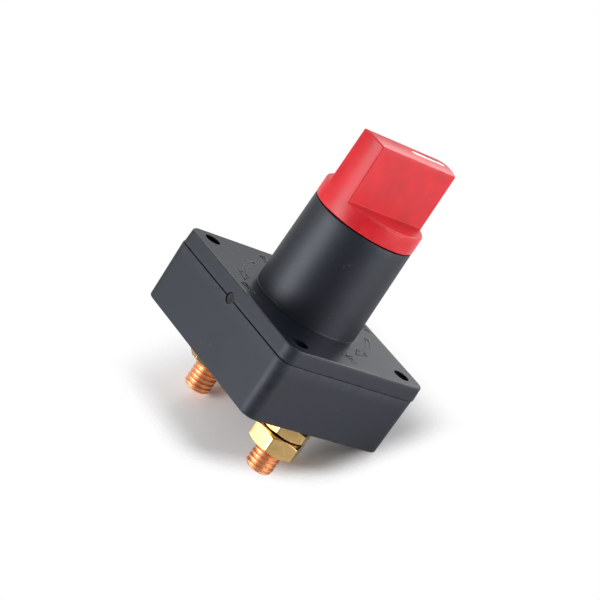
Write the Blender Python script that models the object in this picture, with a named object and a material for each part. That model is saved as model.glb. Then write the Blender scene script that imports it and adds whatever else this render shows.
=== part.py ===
# Rotary battery disconnect switch, OFF position
#
# Frame: origin at the centre of the rear face of the terminal box, +Z along the knob axis
# towards the knob, +X along the line of the two terminal studs. Lengths are metres.
import math

import bmesh
import bpy
from mathutils import Matrix, Vector

MM = 0.001
GAP = 0.3 * MM            # clearance between neighbouring pieces
RUN = 0.4 * MM            # clearance between pieces that turn or slide on each other
LARGE_STEPS = 56          # facets round the tower and the knob
MEDIUM_STEPS = 40         # facets round the cam, the carrier and other middle sizes
SMALL_STEPS = 24          # facets round studs, holes and nut bores
NUT_STEPS = 24            # facets of the chamfer cone of a nut
RING_STEPS = 20           # facets round the rubber rings, the insert and the screw

# Housing outline (half sizes at the parting plane) and heights above the rear face
RIM_HALF = (37.75 * MM, 32.3 * MM)
BOX_DRAFT = 0.25 * MM
COVER_DRAFT = (0.15 * MM, 0.15 * MM)
REAR_HALF = (RIM_HALF[0] - BOX_DRAFT, RIM_HALF[1] - BOX_DRAFT)
PLATE_HALF = (RIM_HALF[0] - COVER_DRAFT[0], RIM_HALF[1] - COVER_DRAFT[1])
CORNER_R = 4.9 * MM
HOUSING_EDGE = 0.5 * MM
BOX_TOP = 22.6 * MM
PLATE_BOTTOM = BOX_TOP + GAP
PLATE_TOP = PLATE_BOTTOM + 5.4 * MM
PLATE_SKIN = 3.4 * MM
FLOOR = 4.0 * MM
REAR_FACE_HALF = (11.0 * MM, 11.0 * MM)   # middle field of the rear face, clear of the nuts
REAR_FACE_CORNER = 4.0 * MM

# Inner outline of the housing: a rectangle that steps round the four corner bosses
WALL = 2.8 * MM
CAVITY_HALF = (RIM_HALF[0] - WALL, RIM_HALF[1] - WALL)
HOLE_INSET = (6.6 * MM, 7.8 * MM)
HOLE_X = RIM_HALF[0] - HOLE_INSET[0]
HOLE_Y = RIM_HALF[1] - HOLE_INSET[1]
HOLE_R = 2.9 * MM
BOSS_R = 5.6 * MM
LEDGE_Z = BOX_TOP - 4.0 * MM
LEDGE_INSET = 1.5 * MM
LIP_WALL = 1.3 * MM
SEAL_H = 0.7 * MM
SEAL_W = 1.0 * MM

# Locking pins at the middle of the long sides, across the parting groove
PIN_R = 2.0 * MM
PIN_Z = BOX_TOP + GAP / 2
PIN_Y = (RIM_HALF[1] - 3.05 * MM, RIM_HALF[1] - 0.5 * MM)
PIN_SEAT_Y = (PIN_Y[0] - 0.35 * MM, RIM_HALF[1] + MM)

# Tower and its bearing sleeve
TOWER_R0 = 19.7 * MM
TOWER_R1 = 19.1 * MM
TOWER_TOP = PLATE_TOP + 35.6 * MM
TOWER_WALL = 2.8 * MM
POCKET_FLOOR = PLATE_TOP + 2.7 * MM
RIB_COUNT = 6
RIB_T = 1.6 * MM
RIB_TOP = TOWER_TOP - 6.4 * MM

# Knob
SKIRT_R0 = TOWER_R1 + 0.05 * MM
SKIRT_R1 = SKIRT_R0 - 0.05 * MM
SKIRT_BOTTOM = TOWER_TOP + RUN
SKIRT_TOP = SKIRT_BOTTOM + 6.6 * MM
SKIRT_EDGE = 0.9 * MM
SKIRT_WALL = 2.7 * MM
BAR_R = SKIRT_R1 - 0.05 * MM
BAR_HALF0 = 6.55 * MM
BAR_HALF1 = 6.15 * MM
BAR_TOP = SKIRT_TOP + 22.1 * MM
CROWN_R = 27.0 * MM
EDGE_R = 0.5 * MM
STEM_R = 7.5 * MM
STEM_SEAL_Z = TOWER_TOP - 7.6 * MM
STEM_SEAL_WIRE = 0.6 * MM
STEM_GROOVE_R = STEM_R - 1.55 * MM
STEM_GROOVE_HALF = 2 * STEM_SEAL_WIRE
CORE_Y = (9.6 * MM, 15.2 * MM)
CORE_HALF = BAR_HALF0 - 2.8 * MM
CORE_TAPER = 0.4 * MM
CORE_ROOF = 4.0 * MM
MARK_Y0 = 0.1 * MM
MARK_Y1 = BAR_R - 2.15 * MM
MARK_HALF = 1.15 * MM
MARK_DEPTH = 0.7 * MM
SLEEVE_R0 = 12.2 * MM
SLEEVE_R1 = STEM_R + 2.9 * MM
SLEEVE_TOP = TOWER_TOP - RUN

# Terminals
STUD_X = RIM_HALF[0] - 14.5 * MM
STUD_R = 5.0 * MM
STUD_TIP = -23.9 * MM
STUD_CHAMFER = 0.8 * MM
HEAD_HALF = (8.0 * MM, 8.5 * MM)
HEAD_Z = (FLOOR + GAP, FLOOR + GAP + 3.1 * MM)
HEAD_CORNER = 2.0 * MM
STUD_SEAL_WIRE = 0.72 * MM
STUD_SEAL_R = STUD_R + 1.05 * MM
STUD_SEAL_SEAT = (STUD_SEAL_R + MM, FLOOR - 1.6 * MM)
NUT_AF = 17.0 * MM
NUT_BORE = STUD_R + GAP
NUT_SINK = 0.7 * MM
NUT_FACE_R = 7.9 * MM       # round end face inside the chamfer
NUT_CHAMFER = math.radians(30)
INNER_NUT_H = 5.2 * MM
OUTER_NUT_H = 7.1 * MM
NUT_LOWERED = {"left": 0.0, "right": 1.6 * MM}    # each pair of nuts stands where it was left on its thread
NUT_TURNS = {"left": (0.38, 0.70), "right": (0.10, 0.118)}

# Contact carrier, bridge and springs in the OFF position; one quarter turn moves them by TRAVEL
TRAVEL = 3.0 * MM
PAD_R = 4.2 * MM
PAD_H = 0.4 * MM
BRIDGE_HALF = (STUD_X + PAD_R + 0.6 * MM, 6.0 * MM)
BRIDGE_LOW = HEAD_Z[1] + GAP + TRAVEL + PAD_H
BRIDGE_Z = (BRIDGE_LOW, BRIDGE_LOW + 2.5 * MM)
KNOP_R = 3.2 * MM
KNOP_H = 0.8 * MM
WINDOW_Z = (BRIDGE_Z[0] - GAP, BRIDGE_Z[1] + 0.9 * MM)
CARRIER_R = 14.6 * MM
CARRIER_Z = (WINDOW_Z[0] - 1.6 * MM, WINDOW_Z[1] + 1.8 * MM)
KEY_Y = 18.5 * MM
KEY_HALF = 2.9 * MM
GUIDE_Y = KEY_Y - 2.8 * MM
GUIDE_T = 2.0 * MM
GUIDE_TOP = LEDGE_Z - 0.4 * MM
POCKET_R = 5.9 * MM
POCKET_TOP = WINDOW_Z[1] + 4.8 * MM
POCKET_ROOF = 1.2 * MM
CONTACT_SPRING = (4.6 * MM, 0.55 * MM, 4.0)    # mean radius, wire radius, turns
RETURN_SPRING = (5.0 * MM, 0.5 * MM, 3.5)
SPRING_SEAT_R = 6.3 * MM
SPRING_SEAT_Z = FLOOR - 2.0 * MM

# Cam and the drive from the stem
RISE_PER_RAD = TRAVEL / (math.pi / 2)
RAMP_SPAN = math.radians(130)
RAMP_R = (8.4 * MM, 14.4 * MM)
RAMP_STEP = 0.15 * MM
CAM_R = RAMP_R[1] + 0.9 * MM
CAM_LOW = POCKET_TOP + POCKET_ROOF + 0.6 * MM
CAM_Z = (CAM_LOW, CAM_LOW + 2.9 * MM)
TRACK_R = CAM_R + MM
TRACK_Z = CAM_Z[1] + GAP
LUG_R = 11.0 * MM
LUG_ANGLE = math.radians(24)
LUG_TOP = CAM_Z[1] + 3.4 * MM
LUG_AT = math.radians(140)
DRIVE_HALF = 5.2 * MM
DRIVE_CORNER = 1.5 * MM
DRIVE_BOTTOM = LUG_TOP
HUB_R = 8.8 * MM
HUB_TOP = DRIVE_BOTTOM + 8.6 * MM
DRIVE_TOP = HUB_TOP + 0.9 * MM
INSERT_R = 3.6 * MM
INSERT_Z = (DRIVE_BOTTOM + 0.4 * MM, DRIVE_TOP - 0.1 * MM)
INSERT_GROOVE = 0.4 * MM
INSERT_GROOVE_W = 1.8 * MM
SCREW_R = 2.5 * MM
SCREW_HEAD_R = 4.5 * MM
SCREW_Z = (CAM_Z[0] + GAP, CAM_Z[1], HUB_TOP)


# Materials

def material(name, colour, roughness, metallic=0.0):
    """Principled material in one plain colour."""
    mat = bpy.data.materials.new(name)
    mat.use_nodes = True
    shader = mat.node_tree.nodes["Principled BSDF"]
    shader.inputs["Base Color"].default_value = (*colour, 1.0)
    shader.inputs["Roughness"].default_value = roughness
    shader.inputs["Metallic"].default_value = metallic
    mat.diffuse_color = (*colour, 1.0)
    return mat


# Mesh helpers

def to_object(name, bm, mat=None, origin_z=0.0):
    """Turn a bmesh drawn in the shared frame into an object whose origin is on the knob axis."""
    bmesh.ops.remove_doubles(bm, verts=bm.verts, dist=1e-7)
    bmesh.ops.recalc_face_normals(bm, faces=bm.faces)
    bmesh.ops.translate(bm, verts=bm.verts, vec=(0.0, 0.0, -origin_z))
    mesh = bpy.data.meshes.new(name)
    bm.to_mesh(mesh)
    bm.free()
    obj = bpy.data.objects.new(name, mesh)
    bpy.context.scene.collection.objects.link(obj)
    obj.location.z = origin_z
    if mat is not None:
        mesh.materials.append(mat)
    return obj


def smooth(obj, angle=32.0):
    """Smooth the round faces and keep the real edges sharp."""
    obj.data.shade_smooth()
    obj.data.set_sharp_from_angle(angle=math.radians(angle))


def loft(bm, sections):
    """Closed body through a list of (outline, z); all outlines have the same number of points."""
    rings = [[bm.verts.new((x, y, z)) for x, y in outline] for outline, z in sections]
    for low, high in zip(rings, rings[1:]):
        for i in range(len(low)):
            j = (i + 1) % len(low)
            bm.faces.new((low[i], low[j], high[j], high[i]))
    bm.faces.new(list(reversed(rings[0])))
    bm.faces.new(rings[-1])


def spin(bm, profile, steps, centre=(0.0, 0.0)):
    """Turn a closed profile of (radius, z) about the vertical line through centre."""
    rings = []
    for k in range(steps):
        turn = 2 * math.pi * k / steps
        rings.append([bm.verts.new((centre[0] + r * math.cos(turn), centre[1] + r * math.sin(turn), z))
                      for r, z in profile])
    for k in range(steps):
        this, following = rings[k], rings[(k + 1) % steps]
        for i in range(len(profile)):
            j = (i + 1) % len(profile)
            corners = (this[i], following[i], following[j], this[j])
            if profile[i][0] == 0.0:
                corners = (this[i], following[j], this[j])
            elif profile[j][0] == 0.0:
                corners = (this[i], following[i], this[j])
            if profile[i][0] == 0.0 and profile[j][0] == 0.0:
                continue
            bm.faces.new(corners)


def wall_frame(bm, outer, inner, low, high):
    """Closed wall between an outer and an inner outline with the same number of points."""
    rings = [[bm.verts.new((x, y, z)) for x, y in outline]
             for outline, z in ((outer, low), (outer, high), (inner, high), (inner, low))]
    for i in range(4):
        this, following = rings[i], rings[(i + 1) % 4]
        for k in range(len(this)):
            j = (k + 1) % len(this)
            bm.faces.new((this[k], this[j], following[j], following[k]))


def rod(bm, radius, z0, z1, steps, centre=(0.0, 0.0)):
    """Plain round rod between two heights."""
    loft(bm, [(circle(radius, steps, centre), z0), (circle(radius, steps, centre), z1)])


def block(bm, low, high):
    """Rectangular block between two corners."""
    outline = [(low[0], low[1]), (high[0], low[1]), (high[0], high[1]), (low[0], high[1])]
    loft(bm, [(outline, low[2]), (outline, high[2])])


def circle(radius, steps, centre=(0.0, 0.0), phase=0.0):
    """Points of a regular polygon."""
    return [(centre[0] + radius * math.cos(phase + 2 * math.pi * k / steps),
             centre[1] + radius * math.sin(phase + 2 * math.pi * k / steps)) for k in range(steps)]


def rounded_rectangle(half, radius, steps=6):
    """Rectangle outline with round corners, anticlockwise."""
    points = []
    for quarter, (sx, sy) in enumerate(((1, 1), (-1, 1), (-1, -1), (1, -1))):
        cx, cy = sx * (half[0] - radius), sy * (half[1] - radius)
        for k in range(steps + 1):
            turn = (quarter + k / steps) * math.pi / 2
            points.append((cx + radius * math.cos(turn), cy + radius * math.sin(turn)))
    return points


def inner_outline(inset, steps=8):
    """Inside outline of the housing: straight walls and hollow arcs round the corner bosses."""
    hx, hy = CAVITY_HALF[0] - inset, CAVITY_HALF[1] - inset
    radius = BOSS_R + inset
    start = math.atan2(-math.sqrt(radius ** 2 - (hx - HOLE_X) ** 2), hx - HOLE_X)
    end = math.atan2(hy - HOLE_Y, -math.sqrt(radius ** 2 - (hy - HOLE_Y) ** 2)) - 2 * math.pi
    arc = []
    for k in range(steps + 1):
        turn = start + (end - start) * k / steps
        arc.append((HOLE_X + radius * math.cos(turn), HOLE_Y + radius * math.sin(turn)))
    points = []
    for sx, sy, backwards in ((1, 1, False), (-1, 1, True), (-1, -1, False), (1, -1, True)):
        quarter = [(sx * x, sy * y) for x, y in arc]
        points += reversed(quarter) if backwards else quarter
    return points


def corner_holes():
    """Centres of the four mounting holes."""
    return [(sx * HOLE_X, sy * HOLE_Y) for sx in (-1, 1) for sy in (-1, 1)]


def wire(obj):
    """Hide a tool body: it only shapes another piece."""
    obj.hide_render = True
    obj.display_type = "WIRE"
    return obj


def combine(obj, tool, operation):
    """Live Boolean with a tool body."""
    step = obj.modifiers.new(operation.title(), "BOOLEAN")
    step.operation = operation
    step.solver = "EXACT"
    step.object = wire(tool)


def coil(bm, mean_r, wire_r, z0, z1, turns, steps=14, sides=6):
    """Compression spring: a tube along a helix whose end turns lie flat."""
    count = int(turns * steps)
    low, high = z0 + wire_r, z1 - wire_r
    upward = Vector((0.0, 0.0, 1.0))
    rings = []
    for k in range(count + 1):
        share = k / count
        lift = min(max((share * turns - 0.75) / (turns - 1.5), 0.0), 1.0)
        turn = 2 * math.pi * share * turns
        centre = Vector((mean_r * math.cos(turn), mean_r * math.sin(turn), low + (high - low) * lift))
        outward = Vector((math.cos(turn), math.sin(turn), 0.0))
        ring = []
        for side in range(sides):
            a = 2 * math.pi * side / sides
            ring.append(bm.verts.new(centre + wire_r * (math.cos(a) * outward + math.sin(a) * upward)))
        rings.append(ring)
    for this, following in zip(rings, rings[1:]):
        for side in range(sides):
            other = (side + 1) % sides
            bm.faces.new((this[side], this[other], following[other], following[side]))
    bm.faces.new(rings[0])
    bm.faces.new(rings[-1])


def torus(bm, mean_r, wire_r, z, centre=(0.0, 0.0), sides=6):
    """Round rubber ring."""
    spin(bm, circle(wire_r, sides, (mean_r, z)), RING_STEPS, centre)


def ramps(bm, inner_r, outer_r, z_of, z_flat):
    """Two screw-shaped sectors, half a turn apart, between the surface z_of(angle) and a flat level."""
    steps = 16
    for start in (0.0, math.pi):
        rings = []
        for k in range(steps + 1):
            turn = RAMP_SPAN * k / steps
            c, s = math.cos(start + turn), math.sin(start + turn)
            z = z_of(turn)
            rings.append([bm.verts.new((r * c, r * s, h))
                          for r, h in ((inner_r, z), (outer_r, z), (outer_r, z_flat), (inner_r, z_flat))])
        for this, following in zip(rings, rings[1:]):
            for i in range(4):
                j = (i + 1) % 4
                bm.faces.new((this[i], this[j], following[j], following[i]))
        bm.faces.new(rings[0])
        bm.faces.new(list(reversed(rings[-1])))


def sector(bm, inner_r, outer_r, z0, z1, start, span, steps=16):
    """Part of a ring between two angles."""
    outer = [(outer_r * math.cos(start + span * k / steps), outer_r * math.sin(start + span * k / steps))
             for k in range(steps + 1)]
    inner = [(inner_r * math.cos(start + span * k / steps), inner_r * math.sin(start + span * k / steps))
             for k in range(steps, -1, -1)]
    loft(bm, [(outer + inner, z0), (outer + inner, z1)])


# Housing

def pin_notches(bm):
    """Round seats of the two locking pins, across the parting groove."""
    for side in (-1, 1):
        start = len(bm.verts)
        rod(bm, PIN_R + GAP, *PIN_SEAT_Y, SMALL_STEPS)
        bm.verts.ensure_lookup_table()
        turn = Matrix.Rotation(-side * math.pi / 2, 3, "X")
        for vert in bm.verts[start:]:
            vert.co = turn @ vert.co
            vert.co.z += PIN_Z


def build_terminal_box(mat):
    """Drafted box with floor, seal ledge, guide ribs, head cradles and stud holes."""
    edge = HOUSING_EDGE
    rear_edge = (REAR_HALF[0] - edge, REAR_HALF[1] - edge)
    rim_edge = (RIM_HALF[0] - edge / 2, RIM_HALF[1] - edge / 2)
    bm = bmesh.new()
    loft(bm, [(rounded_rectangle(REAR_FACE_HALF, REAR_FACE_CORNER), 0.0),
              (rounded_rectangle(rear_edge, CORNER_R - edge), 0.0),
              (rounded_rectangle(REAR_HALF, CORNER_R), edge),
              (rounded_rectangle(RIM_HALF, CORNER_R), BOX_TOP - edge / 2),
              (rounded_rectangle(rim_edge, CORNER_R - edge / 2), BOX_TOP)])
    box = to_object("terminal_box", bm, mat)

    bm = bmesh.new()
    lower = inner_outline(LEDGE_INSET)
    upper = inner_outline(0.0)
    loft(bm, [(lower, FLOOR), (lower, LEDGE_Z), (upper, LEDGE_Z), (upper, BOX_TOP + MM)])
    combine(box, to_object("cut_box_cavity", bm), "DIFFERENCE")

    bm = bmesh.new()
    wall_y = CAVITY_HALF[1] - LEDGE_INSET + 0.5 * MM
    wall_x = CAVITY_HALF[0] - LEDGE_INSET + 0.5 * MM
    for sx in (-1, 1):
        for sy in (-1, 1):
            x0 = KEY_HALF + RUN
            xs = sorted((sx * x0, sx * (x0 + GUIDE_T)))
            ys = sorted((sy * GUIDE_Y, sy * wall_y))
            block(bm, (xs[0], ys[0], FLOOR - 0.5 * MM), (xs[1], ys[1], GUIDE_TOP))
            xs = sorted((sx * (STUD_X - 6.0 * MM), sx * wall_x))
            ys = sorted((sy * (HEAD_HALF[1] + GAP), sy * (HEAD_HALF[1] + GAP + GUIDE_T)))
            block(bm, (xs[0], ys[0], FLOOR - 0.5 * MM), (xs[1], ys[1], HEAD_Z[1] - 0.5 * MM))
    combine(box, to_object("add_box_ribs", bm), "UNION")

    bm = bmesh.new()
    above = FLOOR + 0.1 * MM
    for side in (-1, 1):
        bore, seat_r, seat_z = STUD_R + GAP, *STUD_SEAL_SEAT
        spin(bm, [(0.0, -MM), (bore, -MM), (bore, seat_z), (seat_r, seat_z), (seat_r, above), (0.0, above)],
             SMALL_STEPS, (side * STUD_X, 0.0))
    rod(bm, SPRING_SEAT_R, SPRING_SEAT_Z, above, SMALL_STEPS)
    for centre in corner_holes():
        rod(bm, HOLE_R, -MM, BOX_TOP + MM, SMALL_STEPS, centre)
    pin_notches(bm)
    combine(box, to_object("cut_box_holes", bm), "DIFFERENCE")
    smooth(box)
    return box


def build_cover(mat):
    """Plate with register lip and round tower; the tower holds the cored bearing sleeve."""
    edge = HOUSING_EDGE
    low_edge = (RIM_HALF[0] - edge, RIM_HALF[1] - edge)
    top_edge = (PLATE_HALF[0] - edge, PLATE_HALF[1] - edge)
    side_low = (RIM_HALF[0] - edge / 2, RIM_HALF[1] - edge / 2)
    round_off = 0.3 * edge
    near_edge = (PLATE_HALF[0] - round_off, PLATE_HALF[1] - round_off)
    bm = bmesh.new()
    loft(bm, [(rounded_rectangle(low_edge, CORNER_R - edge / 2), PLATE_BOTTOM),
              (rounded_rectangle(side_low, CORNER_R), PLATE_BOTTOM + edge / 2),
              (rounded_rectangle(PLATE_HALF, CORNER_R), PLATE_TOP - edge),
              (rounded_rectangle(near_edge, CORNER_R - round_off), PLATE_TOP - round_off),
              (rounded_rectangle(top_edge, CORNER_R - edge), PLATE_TOP)])
    cover = to_object("cover", bm, mat)

    skin_bottom = PLATE_TOP - PLATE_SKIN
    lip_outline = inner_outline(GAP)
    bm = bmesh.new()
    loft(bm, [(lip_outline, PLATE_BOTTOM - MM), (lip_outline, skin_bottom)])
    combine(cover, to_object("cut_cover_recess", bm), "DIFFERENCE")

    bm = bmesh.new()
    chamfer = 0.4 * MM
    spin(bm, [(0.0, TRACK_Z), (TRACK_R, TRACK_Z), (TRACK_R, PLATE_TOP - MM), (TOWER_R0, PLATE_TOP - MM),
              (TOWER_R0, PLATE_TOP), (TOWER_R1, TOWER_TOP - chamfer), (TOWER_R1 - chamfer, TOWER_TOP),
              (0.0, TOWER_TOP)], LARGE_STEPS)
    combine(cover, to_object("add_cover_tower", bm), "UNION")

    bm = bmesh.new()
    lip_z = LEDGE_Z + SEAL_H + 2 * GAP
    wall_frame(bm, lip_outline, inner_outline(GAP + LIP_WALL), lip_z, skin_bottom + 0.5 * MM)
    combine(cover, to_object("add_cover_lip", bm), "UNION")

    bm = bmesh.new()
    hub_bore, stem_bore, mouth = HUB_R + RUN, STEM_R + GAP, SLEEVE_R1 + 2 * GAP
    shoulder = HUB_TOP + GAP + 0.2 * MM
    spin(bm, [(0.0, FLOOR), (hub_bore, FLOOR), (hub_bore, shoulder), (stem_bore, shoulder),
              (stem_bore, SLEEVE_TOP), (mouth, SLEEVE_TOP), (mouth, TOWER_TOP + MM),
              (0.0, TOWER_TOP + MM)], LARGE_STEPS)
    combine(cover, to_object("cut_cover_bore", bm), "DIFFERENCE")

    bm = bmesh.new()
    pocket_r = (TOWER_R0 - TOWER_WALL - 0.3 * MM, TOWER_R1 - TOWER_WALL)
    spin(bm, [(SLEEVE_R0, POCKET_FLOOR), (pocket_r[0], POCKET_FLOOR), (pocket_r[1], TOWER_TOP + MM),
              (SLEEVE_R1, TOWER_TOP + MM)], LARGE_STEPS)
    pocket = to_object("cut_tower_pocket", bm)
    bm = bmesh.new()
    for k in range(RIB_COUNT):
        start = len(bm.verts)
        block(bm, (SLEEVE_R1 - 2 * MM, -RIB_T / 2, POCKET_FLOOR - MM),
              (TOWER_R0 + TOWER_R1, RIB_T / 2, RIB_TOP))
        bm.verts.ensure_lookup_table()
        bmesh.ops.rotate(bm, verts=bm.verts[start:], cent=(0, 0, 0),
                         matrix=Matrix.Rotation(2 * math.pi * (k + 0.5) / RIB_COUNT, 3, "Z"))
    ribs = to_object("keep_tower_ribs", bm)
    step = pocket.modifiers.new("Ribs", "BOOLEAN")
    step.operation = "DIFFERENCE"
    step.solver = "EXACT"
    step.use_self = True
    step.object = wire(ribs)
    combine(cover, pocket, "DIFFERENCE")

    bm = bmesh.new()
    free = math.radians(1.6)
    sector(bm, HUB_R - MM, LUG_R + RUN, FLOOR, LUG_TOP + RUN,
           LUG_AT - LUG_ANGLE / 2 - free - math.pi / 2, math.pi / 2 + LUG_ANGLE + 2 * free, 18)
    for centre in corner_holes():
        rod(bm, HOLE_R, FLOOR, PLATE_TOP + MM, SMALL_STEPS, centre)
    pin_notches(bm)
    combine(cover, to_object("cut_cover_holes", bm), "DIFFERENCE")
    smooth(cover)
    return cover


def build_cover_seal(mat):
    """Flat rubber frame between the ledge of the box and the lip of the cover."""
    low = LEDGE_Z + GAP
    bm = bmesh.new()
    wall_frame(bm, inner_outline(GAP), inner_outline(GAP + SEAL_W), low, low + SEAL_H)
    return to_object("cover_seal", bm, mat)


def build_locking_pin(name, side, mat):
    """Round pin pressed across the parting groove at the middle of a long side."""
    bm = bmesh.new()
    edge = 0.25 * MM
    section = circle(PIN_R, SMALL_STEPS)
    loft(bm, [(section, PIN_Y[0]), (section, PIN_Y[1] - edge), (circle(PIN_R - edge, SMALL_STEPS), PIN_Y[1])])
    turn = Matrix.Rotation(-side * math.pi / 2, 3, "X")
    for vert in bm.verts:
        vert.co = turn @ vert.co
        vert.co.z += PIN_Z
    pin = to_object(name, bm, mat)
    smooth(pin)
    return pin


# Terminals

def build_stud(name, side, mat):
    """Copper stud: rectangular contact head with a round threaded shank, thread drawn plain."""
    x = side * STUD_X
    bm = bmesh.new()
    edge = 0.6 * MM
    head = [(x + px, py) for px, py in rounded_rectangle(HEAD_HALF, HEAD_CORNER, 4)]
    top_half = (HEAD_HALF[0] - edge, HEAD_HALF[1] - edge)
    top = [(x + px, py) for px, py in rounded_rectangle(top_half, HEAD_CORNER - edge, 4)]
    loft(bm, [(head, HEAD_Z[0]), (head, HEAD_Z[1] - edge), (top, HEAD_Z[1])])
    stud = to_object(name, bm, mat)
    bm = bmesh.new()
    loft(bm, [(circle(STUD_R - STUD_CHAMFER, SMALL_STEPS, (x, 0)), STUD_TIP),
              (circle(STUD_R, SMALL_STEPS, (x, 0)), STUD_TIP + STUD_CHAMFER),
              (circle(STUD_R, SMALL_STEPS, (x, 0)), HEAD_Z[0] + MM)])
    combine(stud, to_object("add_shank_" + name, bm), "UNION")
    smooth(stud)
    return stud


def build_nut(name, side, top, height, turn, mat):
    """Hexagon nut with both ends chamfered and a countersunk bore."""
    centre = (side * STUD_X, 0.0)
    bottom = top - height
    corner_r = NUT_AF / math.sqrt(3)
    bm = bmesh.new()
    outline = circle(corner_r, 6, centre, turn)
    loft(bm, [(outline, bottom), (outline, top)])
    nut = to_object(name, bm, mat)
    reach = corner_r + 0.4 * MM
    drop = (reach - NUT_FACE_R) * math.tan(NUT_CHAMFER)
    bm = bmesh.new()
    spin(bm, [(0.0, bottom), (NUT_FACE_R, bottom), (reach, bottom + drop), (reach, top - drop),
              (NUT_FACE_R, top), (0.0, top)], NUT_STEPS, centre)
    combine(nut, to_object("chamfer_" + name, bm), "INTERSECT")
    wide = NUT_BORE + NUT_SINK + MM
    bm = bmesh.new()
    spin(bm, [(0.0, bottom - MM), (wide, bottom - MM), (NUT_BORE, bottom + NUT_SINK),
              (NUT_BORE, top - NUT_SINK), (wide, top + MM), (0.0, top + MM)], SMALL_STEPS, centre)
    combine(nut, to_object("cut_bore_" + name, bm), "DIFFERENCE")
    smooth(nut, 20)
    return nut


def build_stud_seal(name, side, mat):
    """Rubber ring in the counterbore under a stud head."""
    bm = bmesh.new()
    seal_z = STUD_SEAL_SEAT[1] + GAP / 2 + STUD_SEAL_WIRE
    torus(bm, STUD_SEAL_R, STUD_SEAL_WIRE, seal_z, (side * STUD_X, 0.0))
    seal = to_object(name, bm, mat)
    smooth(seal, 70)
    return seal


# Knob set

def build_knob(mat):
    """Skirt with a grip bar across it, cored from below, and a stem with a square drive."""
    bm = bmesh.new()
    edge = 0.35 * MM
    inner_r = SKIRT_R0 - SKIRT_WALL
    roof = SKIRT_TOP - SKIRT_WALL - 0.2 * MM
    boss_r = SLEEVE_R1 + 0.2 * MM
    boss_z = SKIRT_BOTTOM + 0.6 * MM
    groove = (STEM_SEAL_Z - STEM_GROOVE_HALF, STEM_SEAL_Z + STEM_GROOVE_HALF)
    spin(bm, [(0.0, DRIVE_TOP), (STEM_R, DRIVE_TOP), (STEM_R, groove[0]), (STEM_GROOVE_R, groove[0]),
              (STEM_GROOVE_R, groove[1]), (STEM_R, groove[1]), (STEM_R, boss_z), (boss_r, boss_z),
              (boss_r, roof), (inner_r, roof), (inner_r, SKIRT_BOTTOM), (SKIRT_R0 - edge, SKIRT_BOTTOM),
              (SKIRT_R0, SKIRT_BOTTOM + edge), (SKIRT_R1, SKIRT_TOP - SKIRT_EDGE),
              (SKIRT_R1 - 0.3 * SKIRT_EDGE, SKIRT_TOP - 0.3 * SKIRT_EDGE),
              (SKIRT_R1 - SKIRT_EDGE, SKIRT_TOP), (0.0, SKIRT_TOP)], LARGE_STEPS)
    knob = to_object("knob", bm, mat, SKIRT_BOTTOM)

    # Grip bar: flat drafted sides, ends on the cylinder of the skirt, crowned top, rounded edges
    bm = bmesh.new()
    base_z = SKIRT_TOP - 1.5 * MM
    ends = [math.sqrt(BAR_R ** 2 - (BAR_HALF0 * k / 6) ** 2) for k in range(0, 7)]
    rows = [-y for y in ends] + [BAR_R * k / 8 for k in (-6, -3, 0, 3, 6)] + list(reversed(ends))
    share = BAR_HALF1 / BAR_HALF0
    top = []
    low = []
    for y in rows:
        reach = min(BAR_HALF0, math.sqrt(max(BAR_R ** 2 - y ** 2, 0.0)))
        xs = [reach * k / 4 for k in range(-4, 5)]
        low.append([bm.verts.new((x, y, base_z)) for x in xs])
        crown = [BAR_TOP - CROWN_R + math.sqrt(CROWN_R ** 2 - (x * share) ** 2) for x in xs]
        top.append([bm.verts.new((x * share, y * 0.997, z)) for x, z in zip(xs, crown)])
    for i in range(len(rows) - 1):
        for k in range(8):
            bm.faces.new((top[i][k], top[i][k + 1], top[i + 1][k + 1], top[i + 1][k]))
            bm.faces.new((low[i][k], low[i + 1][k], low[i + 1][k + 1], low[i][k + 1]))
        for k in (0, 8):
            bm.faces.new((low[i][k], top[i][k], top[i + 1][k], low[i + 1][k]))
    bmesh.ops.remove_doubles(bm, verts=bm.verts, dist=1e-6)
    bmesh.ops.dissolve_degenerate(bm, edges=bm.edges, dist=1e-6)
    bar = to_object("add_knob_bar", bm)
    round_edges = bar.modifiers.new("Round", "BEVEL")
    round_edges.width = EDGE_R
    round_edges.segments = 2
    round_edges.limit_method = "ANGLE"
    round_edges.angle_limit = math.radians(40)
    combine(knob, bar, "UNION")

    bm = bmesh.new()
    square = rounded_rectangle((DRIVE_HALF, DRIVE_HALF), DRIVE_CORNER, 4)
    loft(bm, [(square, DRIVE_BOTTOM), (square, DRIVE_TOP + MM)])
    combine(knob, to_object("add_knob_drive", bm), "UNION")

    # Cores: two deep pockets in the bar, the seat of the threaded insert and the pointer groove
    bm = bmesh.new()
    for side in (-1, 1):
        y0, y1 = sorted(side * y for y in CORE_Y)
        mouth = [(-CORE_HALF, y0), (CORE_HALF, y0), (CORE_HALF, y1), (-CORE_HALF, y1)]
        end = [(x - math.copysign(CORE_TAPER, x), y) for x, y in mouth]
        loft(bm, [(mouth, roof - MM), (end, BAR_TOP - CORE_ROOF)])
    rod(bm, INSERT_R + GAP, DRIVE_BOTTOM - MM, INSERT_Z[1] + GAP, SMALL_STEPS)
    groove_half = MARK_HALF + GAP
    y0, y1 = MARK_Y0 - GAP + groove_half, MARK_Y1 + GAP - groove_half
    outline = slot_outline(groove_half, y0, y1)
    loft(bm, [(outline, BAR_TOP - MARK_DEPTH), (outline, BAR_TOP + MM)])
    combine(knob, to_object("cut_knob_cores", bm), "DIFFERENCE")
    smooth(knob)
    return knob


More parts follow.
